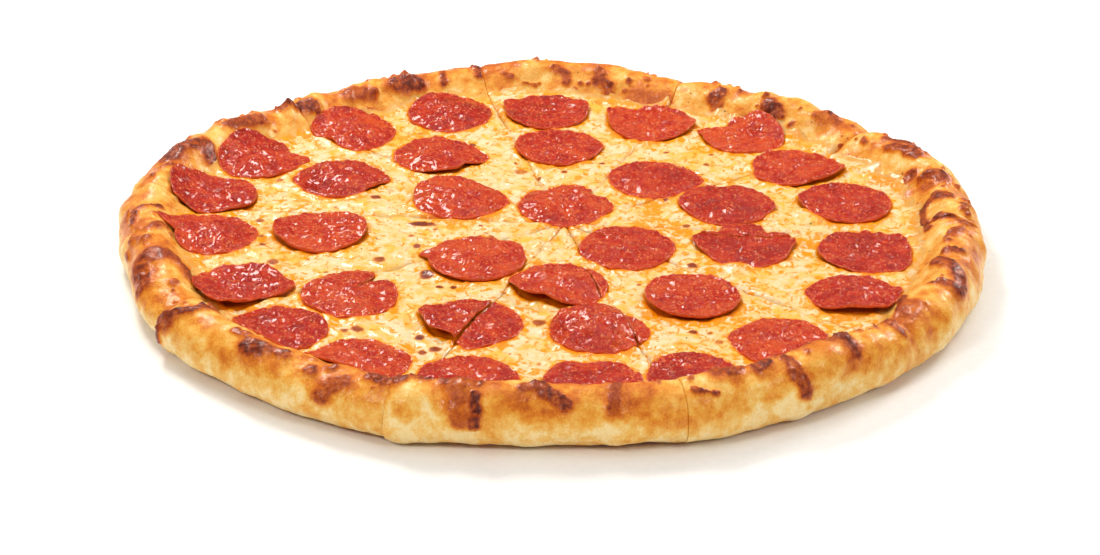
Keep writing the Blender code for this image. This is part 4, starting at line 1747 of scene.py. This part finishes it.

# Baked pepperoni: coarse ground cured meat, fried in its own fat. It gives the eye a warm red with
# small paler and orange grains of fat, paler edges, and a wet oily gloss that the wrinkles break up.
# Its darker creases and paler ridges are painted shade and painted light, since the noise that bumps
# the meat also sets its pale and dark coats, together with its own random tone. Its coats: pale meat
# with painted light, dark meat with painted shade, fat and edge.
SAUSAGE = Finish(
    name="cured_sausage",
    reads=("inset", "tone"),
    noises=(
        ("ground", 2.6, 5.0, 0.62, 1.4), ("broad", 9.0, 2.0, 0.50, 0.0), ("grain", 1.1, 3.0, 0.55, 1.2),
    ),
    steps={
        # Painted light and shade: the ground noise, which is also the bump, makes the meat paler on its
        # ridges and darker in its creases, mixed with the disc's tone and the broad noise's random tone.
        "mixed": ("MULTIPLY_ADD", "tone", 0.08, ("MULTIPLY_ADD", "broad", 0.70, "ground")),
        "pale": (SPAN, ("mixed", 0.80, 1.02)),
        "dark": (SPAN, ("mixed", 0.80, 0.62, 0.0, 0.80)),
        "cells": ("ShaderNodeTexVoronoi", {"Vector": "place", "Scale": 1.0 / (1.3 * MM)}),
        "bit": (SPAN, ("cells", 0.42, 0.20, 0.0, 0.80)),
        "fat": ("MULTIPLY", "bit", (SPAN, ("ground", 0.44, 0.56))),
        "edge": (SPAN, ("inset", 0.8 * MM, 0.2 * MM, 0.0, 0.60)),
        "dull": (SPAN, ("broad", 0.35, 0.65, 0.18, 0.34)),
    },
    first="#BA1E05",
    coats=(("pale", "#D24610"), ("dark", "#961404"), ("fat", "#F0965A"), ("edge", "#E2602A")),
    bumps=(("grain", 0.9, 0.55), ("ground", 0.9, 1.00)),
    gloss={
        "Roughness": "dull", "Coat Weight": 0.40, "Coat Roughness": 0.08, "Specular IOR Level": 0.12,
    },
)


def small_finish(name: str, colour: str, second: str, roughness: float, wet: float) -> Finish:
    """The finish of something too plain to show more than a change of colour.

    Args:
        name: The material's name.
        colour: Its colour.
        second: The colour that it varies towards from place to place.
        roughness: Its roughness.
        wet: The weight of a wet coat.

    Returns:
        The finish.
    """
    return Finish(
        name=name,
        noises=(("wander", 3.0, 2.0, 0.50, 0.0),),
        steps={"share": (SPAN, ("wander", 0.35, 0.65))},
        first=colour,
        coats=(("share", second),),
        gloss={"Roughness": roughness, "Coat Weight": wet, "Coat Roughness": 0.08},
    )


@dataclass(frozen=True)
class Softbox:
    """A square studio light that faces the pizza."""

    name: str
    place: tuple[float, float, float]
    size: float
    watts: float
    colour: str

    def build(self) -> None:
        """Makes the light."""
        light = bpy.data.lights.new(self.name, "AREA")
        light.size = self.size
        light.energy = self.watts
        light.color = linear(self.colour)[:3]
        thing = bpy.data.objects.new(self.name, light)
        thing.location = self.place
        thing.rotation_euler = Vector(self.place).to_track_quat("Z", "Y").to_euler()
        bpy.context.scene.collection.objects.link(thing)


@dataclass(frozen=True)
class Studio:
    """The camera at the photograph's angle, a pale floor and soft lights.

    Attributes:
        aim: The point that the camera was levelled at, near the middle of the pizza.
        distance: From that point to the camera.
        elevation_deg: How steeply the camera looks down.
        roll_deg: How far the photograph leans.
        pitch_deg: How much further down the camera points, to place the pizza in the picture.
        lens_mm: The focal length on a sensor 36 mm wide.
        floor_side: The side of the floor.
        daylight: The strength of the even light from all round.
        softboxes: The lights.
    """

    aim: tuple[float, float, float] = (-0.0003, -0.0025, 0.0)
    distance: float = 1.068
    elevation_deg: float = 26.24
    roll_deg: float = 1.144
    pitch_deg: float = 0.578
    lens_mm: float = 81.74
    floor_side: float = 8.0
    daylight: float = 0.22
    softboxes: tuple[Softbox, ...] = (
        Softbox("overhead", (0.0, 0.1, 1.6), 1.8, 10.5, "#FFFEFB"),
        Softbox("key_behind_left", (-0.45, 0.65, 0.90), 0.32, 9.8, "#FFFBF4"),
        Softbox("behind_right", (0.75, 0.65, 0.60), 0.28, 5.5, "#FFFCF7"),
        Softbox("front_left", (-0.70, -0.85, 0.90), 0.30, 5.4, "#FFFCF7"),
        Softbox("front_right", (0.75, -0.80, 0.80), 0.30, 3.4, "#FFFCF7"),
    )

    def camera(self) -> None:
        """Makes the camera and sets it as the scene's."""
        lean, steep, pitch = (math.radians(a) for a in (self.roll_deg, self.elevation_deg, self.pitch_deg))
        right = Vector((1.0, 0.0, 0.0))
        up = Vector((0.0, math.sin(steep), math.cos(steep)))
        ahead = Vector((0.0, math.cos(steep), -math.sin(steep)))
        rolled_right = math.cos(lean) * right + math.sin(lean) * up
        rolled_up = -math.sin(lean) * right + math.cos(lean) * up
        tipped_ahead = math.cos(pitch) * ahead - math.sin(pitch) * rolled_up
        tipped_up = math.cos(pitch) * rolled_up + math.sin(pitch) * ahead
        place = Vector(self.aim) - self.distance * ahead
        data = bpy.data.cameras.new("camera")
        data.lens = self.lens_mm
        data.sensor_width = 36.0
        data.sensor_fit = "HORIZONTAL"
        data.clip_start = 0.01
        camera = bpy.data.objects.new("camera", data)
        axes = Matrix((rolled_right, tipped_up, -tipped_ahead)).transposed()
        camera.matrix_world = Matrix.Translation(place) @ axes.to_4x4()
        bpy.context.scene.collection.objects.link(camera)
        bpy.context.scene.camera = camera

    def floor(self) -> None:
        """Makes the pale floor and the even light from all round."""
        half = self.floor_side / 2.0
        corners = np.array(((-half, -half, 0.0), (half, -half, 0.0), (half, half, 0.0), (-half, half, 0.0)))
        floor = mesh_object("floor", corners, [[0, 1, 2, 3]], {})
        finish = small_finish("pale_floor", "#F7F7F6", "#F4F4F3", 0.6, 0.0)
        floor.data.materials.append(finish.material())
        world = bpy.data.worlds.new("soft_daylight")
        world.use_nodes = True
        world.node_tree.nodes.clear()
        light = {"Color": linear("#FFFFFF"), "Strength": self.daylight}
        glow = add_node(world.node_tree, "ShaderNodeBackground", light)
        add_node(world.node_tree, "ShaderNodeOutputWorld", {"Surface": glow})
        bpy.context.scene.world = world

    def build(self) -> None:
        """Makes the whole studio."""
        self.camera()
        self.floor()
        for softbox in self.softboxes:
            softbox.build()
        bpy.context.scene.view_settings.view_transform = "Standard"


def dress(thing: bpy.types.Object, finish: bpy.types.Material | None, slot: Slot, *stands_for: str) -> None:
    """Gives a piece its finish and its body, and hides the frame's nodes that it replaces.

    Args:
        thing: The piece.
        finish: Its material, unless it has it already.
        slot: Not used.
        *stands_for: The frame's nodes that it replaces.
    """
    if finish is not None:
        thing.data.materials.clear()
        thing.data.materials.append(finish)
    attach(thing, "root")
    if stands_for:
        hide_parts(*stands_for)
    log.info("%s: %d faces", thing.name, len(thing.data.polygons))


STREWN = (
    (
        Strewn("oil_beads", 26000.0, 0.20 * MM, 0.75 * MM, 0.45, "wetness", 2, Slot.CHEESE),
        small_finish("orange_oil", "#E8791C", "#F0A22E", 0.10, 0.8),
    ),
    (
        Strewn("herb_flecks", 900.0, 0.20 * MM, 0.50 * MM, 0.30, "cheese", 1, Slot.CHEESE),
        small_finish("dried_herb", "#7A5A22", "#5A3A16", 0.7, 0.0),
    ),
    (
        Strewn("toasted_crumbs", 1500.0, 0.20 * MM, 0.50 * MM, 0.6, "everywhere", 1, Slot.CRUST),
        small_finish("toasted_crumb", "#B8702C", "#94501C", 0.7, 0.1),
    ),
)


def ground_of(rims: list, sheets: list) -> bpy.types.Object:
    """Joins the skins that face up into one surface to strew small things on.

    Args:
        rims: The grids of the crust's skin.
        sheets: The grids of the cheese's top with their attributes.

    Returns:
        The surface, which is removed again.
    """
    vertices, faces = [], []
    layers = {"wetness": [], "cheese": [], "everywhere": []}
    start = 0
    for grid, shown in [(grid, None) for grid in rims] + sheets:
        columns, rows = grid.shape[:2]
        wound = grid_faces(columns, rows)
        if shown is not None:
            wound = [face[::-1] for face in wound]
        faces += [[corner + start for corner in face] for face in wound]
        vertices.append(grid.reshape(-1, 3))
        start += columns * rows
        none = np.zeros(columns * rows)
        oil = none if shown is None else shown["oil"].ravel()
        on_cheese = shown is not None
        layers["wetness"].append(np.clip(oil - 0.35, 0.0, 1.0) * (oil < 0.93))
        layers["cheese"].append(none + float(on_cheese))
        layers["everywhere"].append(none + (0.25 if on_cheese else 1.0))
    joined = {name: np.concatenate(parts) for name, parts in layers.items()}
    return mesh_object("ground", np.concatenate(vertices), faces, joined)


def main() -> None:
    """Builds the studio and every piece of the pizza in order."""
    logging.basicConfig(level=logging.INFO, format="%(name)s: %(message)s")
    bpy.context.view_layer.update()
    Studio().build()
    outline = Outline.from_frame(frame["nodes"])
    crust = Crust(outline)
    cheese = Cheese(outline, crust)
    roughness = Lumps(SEED + 3)
    discs = [
        Disc.from_node(number, frame["nodes"][f"pepperoni_{number + 1:02d}"], roughness)
        for number in range(len(CURLS))
    ]
    near, far = outline.edges.min() / MM, outline.edges.max() / MM
    log.info("rim %.0f to %.0f mm out, cheese at %.1f mm", near, far, outline.level / MM)

    dough, mozzarella, sausage = (finish.material() for finish in (DOUGH, MOZZARELLA, SAUSAGE))
    rims, sheets = [], []
    for number in range(SLICES):
        thing, rim = crust.build(number)
        dress(thing, dough, Slot.CRUST, f"crust_slice_{number + 1:02d}")
        rims.append(rim)
        thing, top, layers = cheese.build(number, discs)
        dress(thing, mozzarella, Slot.CHEESE, f"cheese_slice_{number + 1:02d}")
        sheets.append((top, layers))

    bed = cheese.bed()
    for number, piece in enumerate(Pepperoni(outline).build(discs, bed, sausage)):
        dress(piece, None, Slot.PEPPERONI, f"pepperoni_{number + 1:02d}")
    bpy.data.objects.remove(bed)

    ground = ground_of(rims, sheets)
    for number, (kind, finish) in enumerate(STREWN):
        dress(kind.build(ground, finish.material(), SEED + number), None, kind.slot)
    bpy.data.objects.remove(ground)


if __name__ == "__main__":
    main()
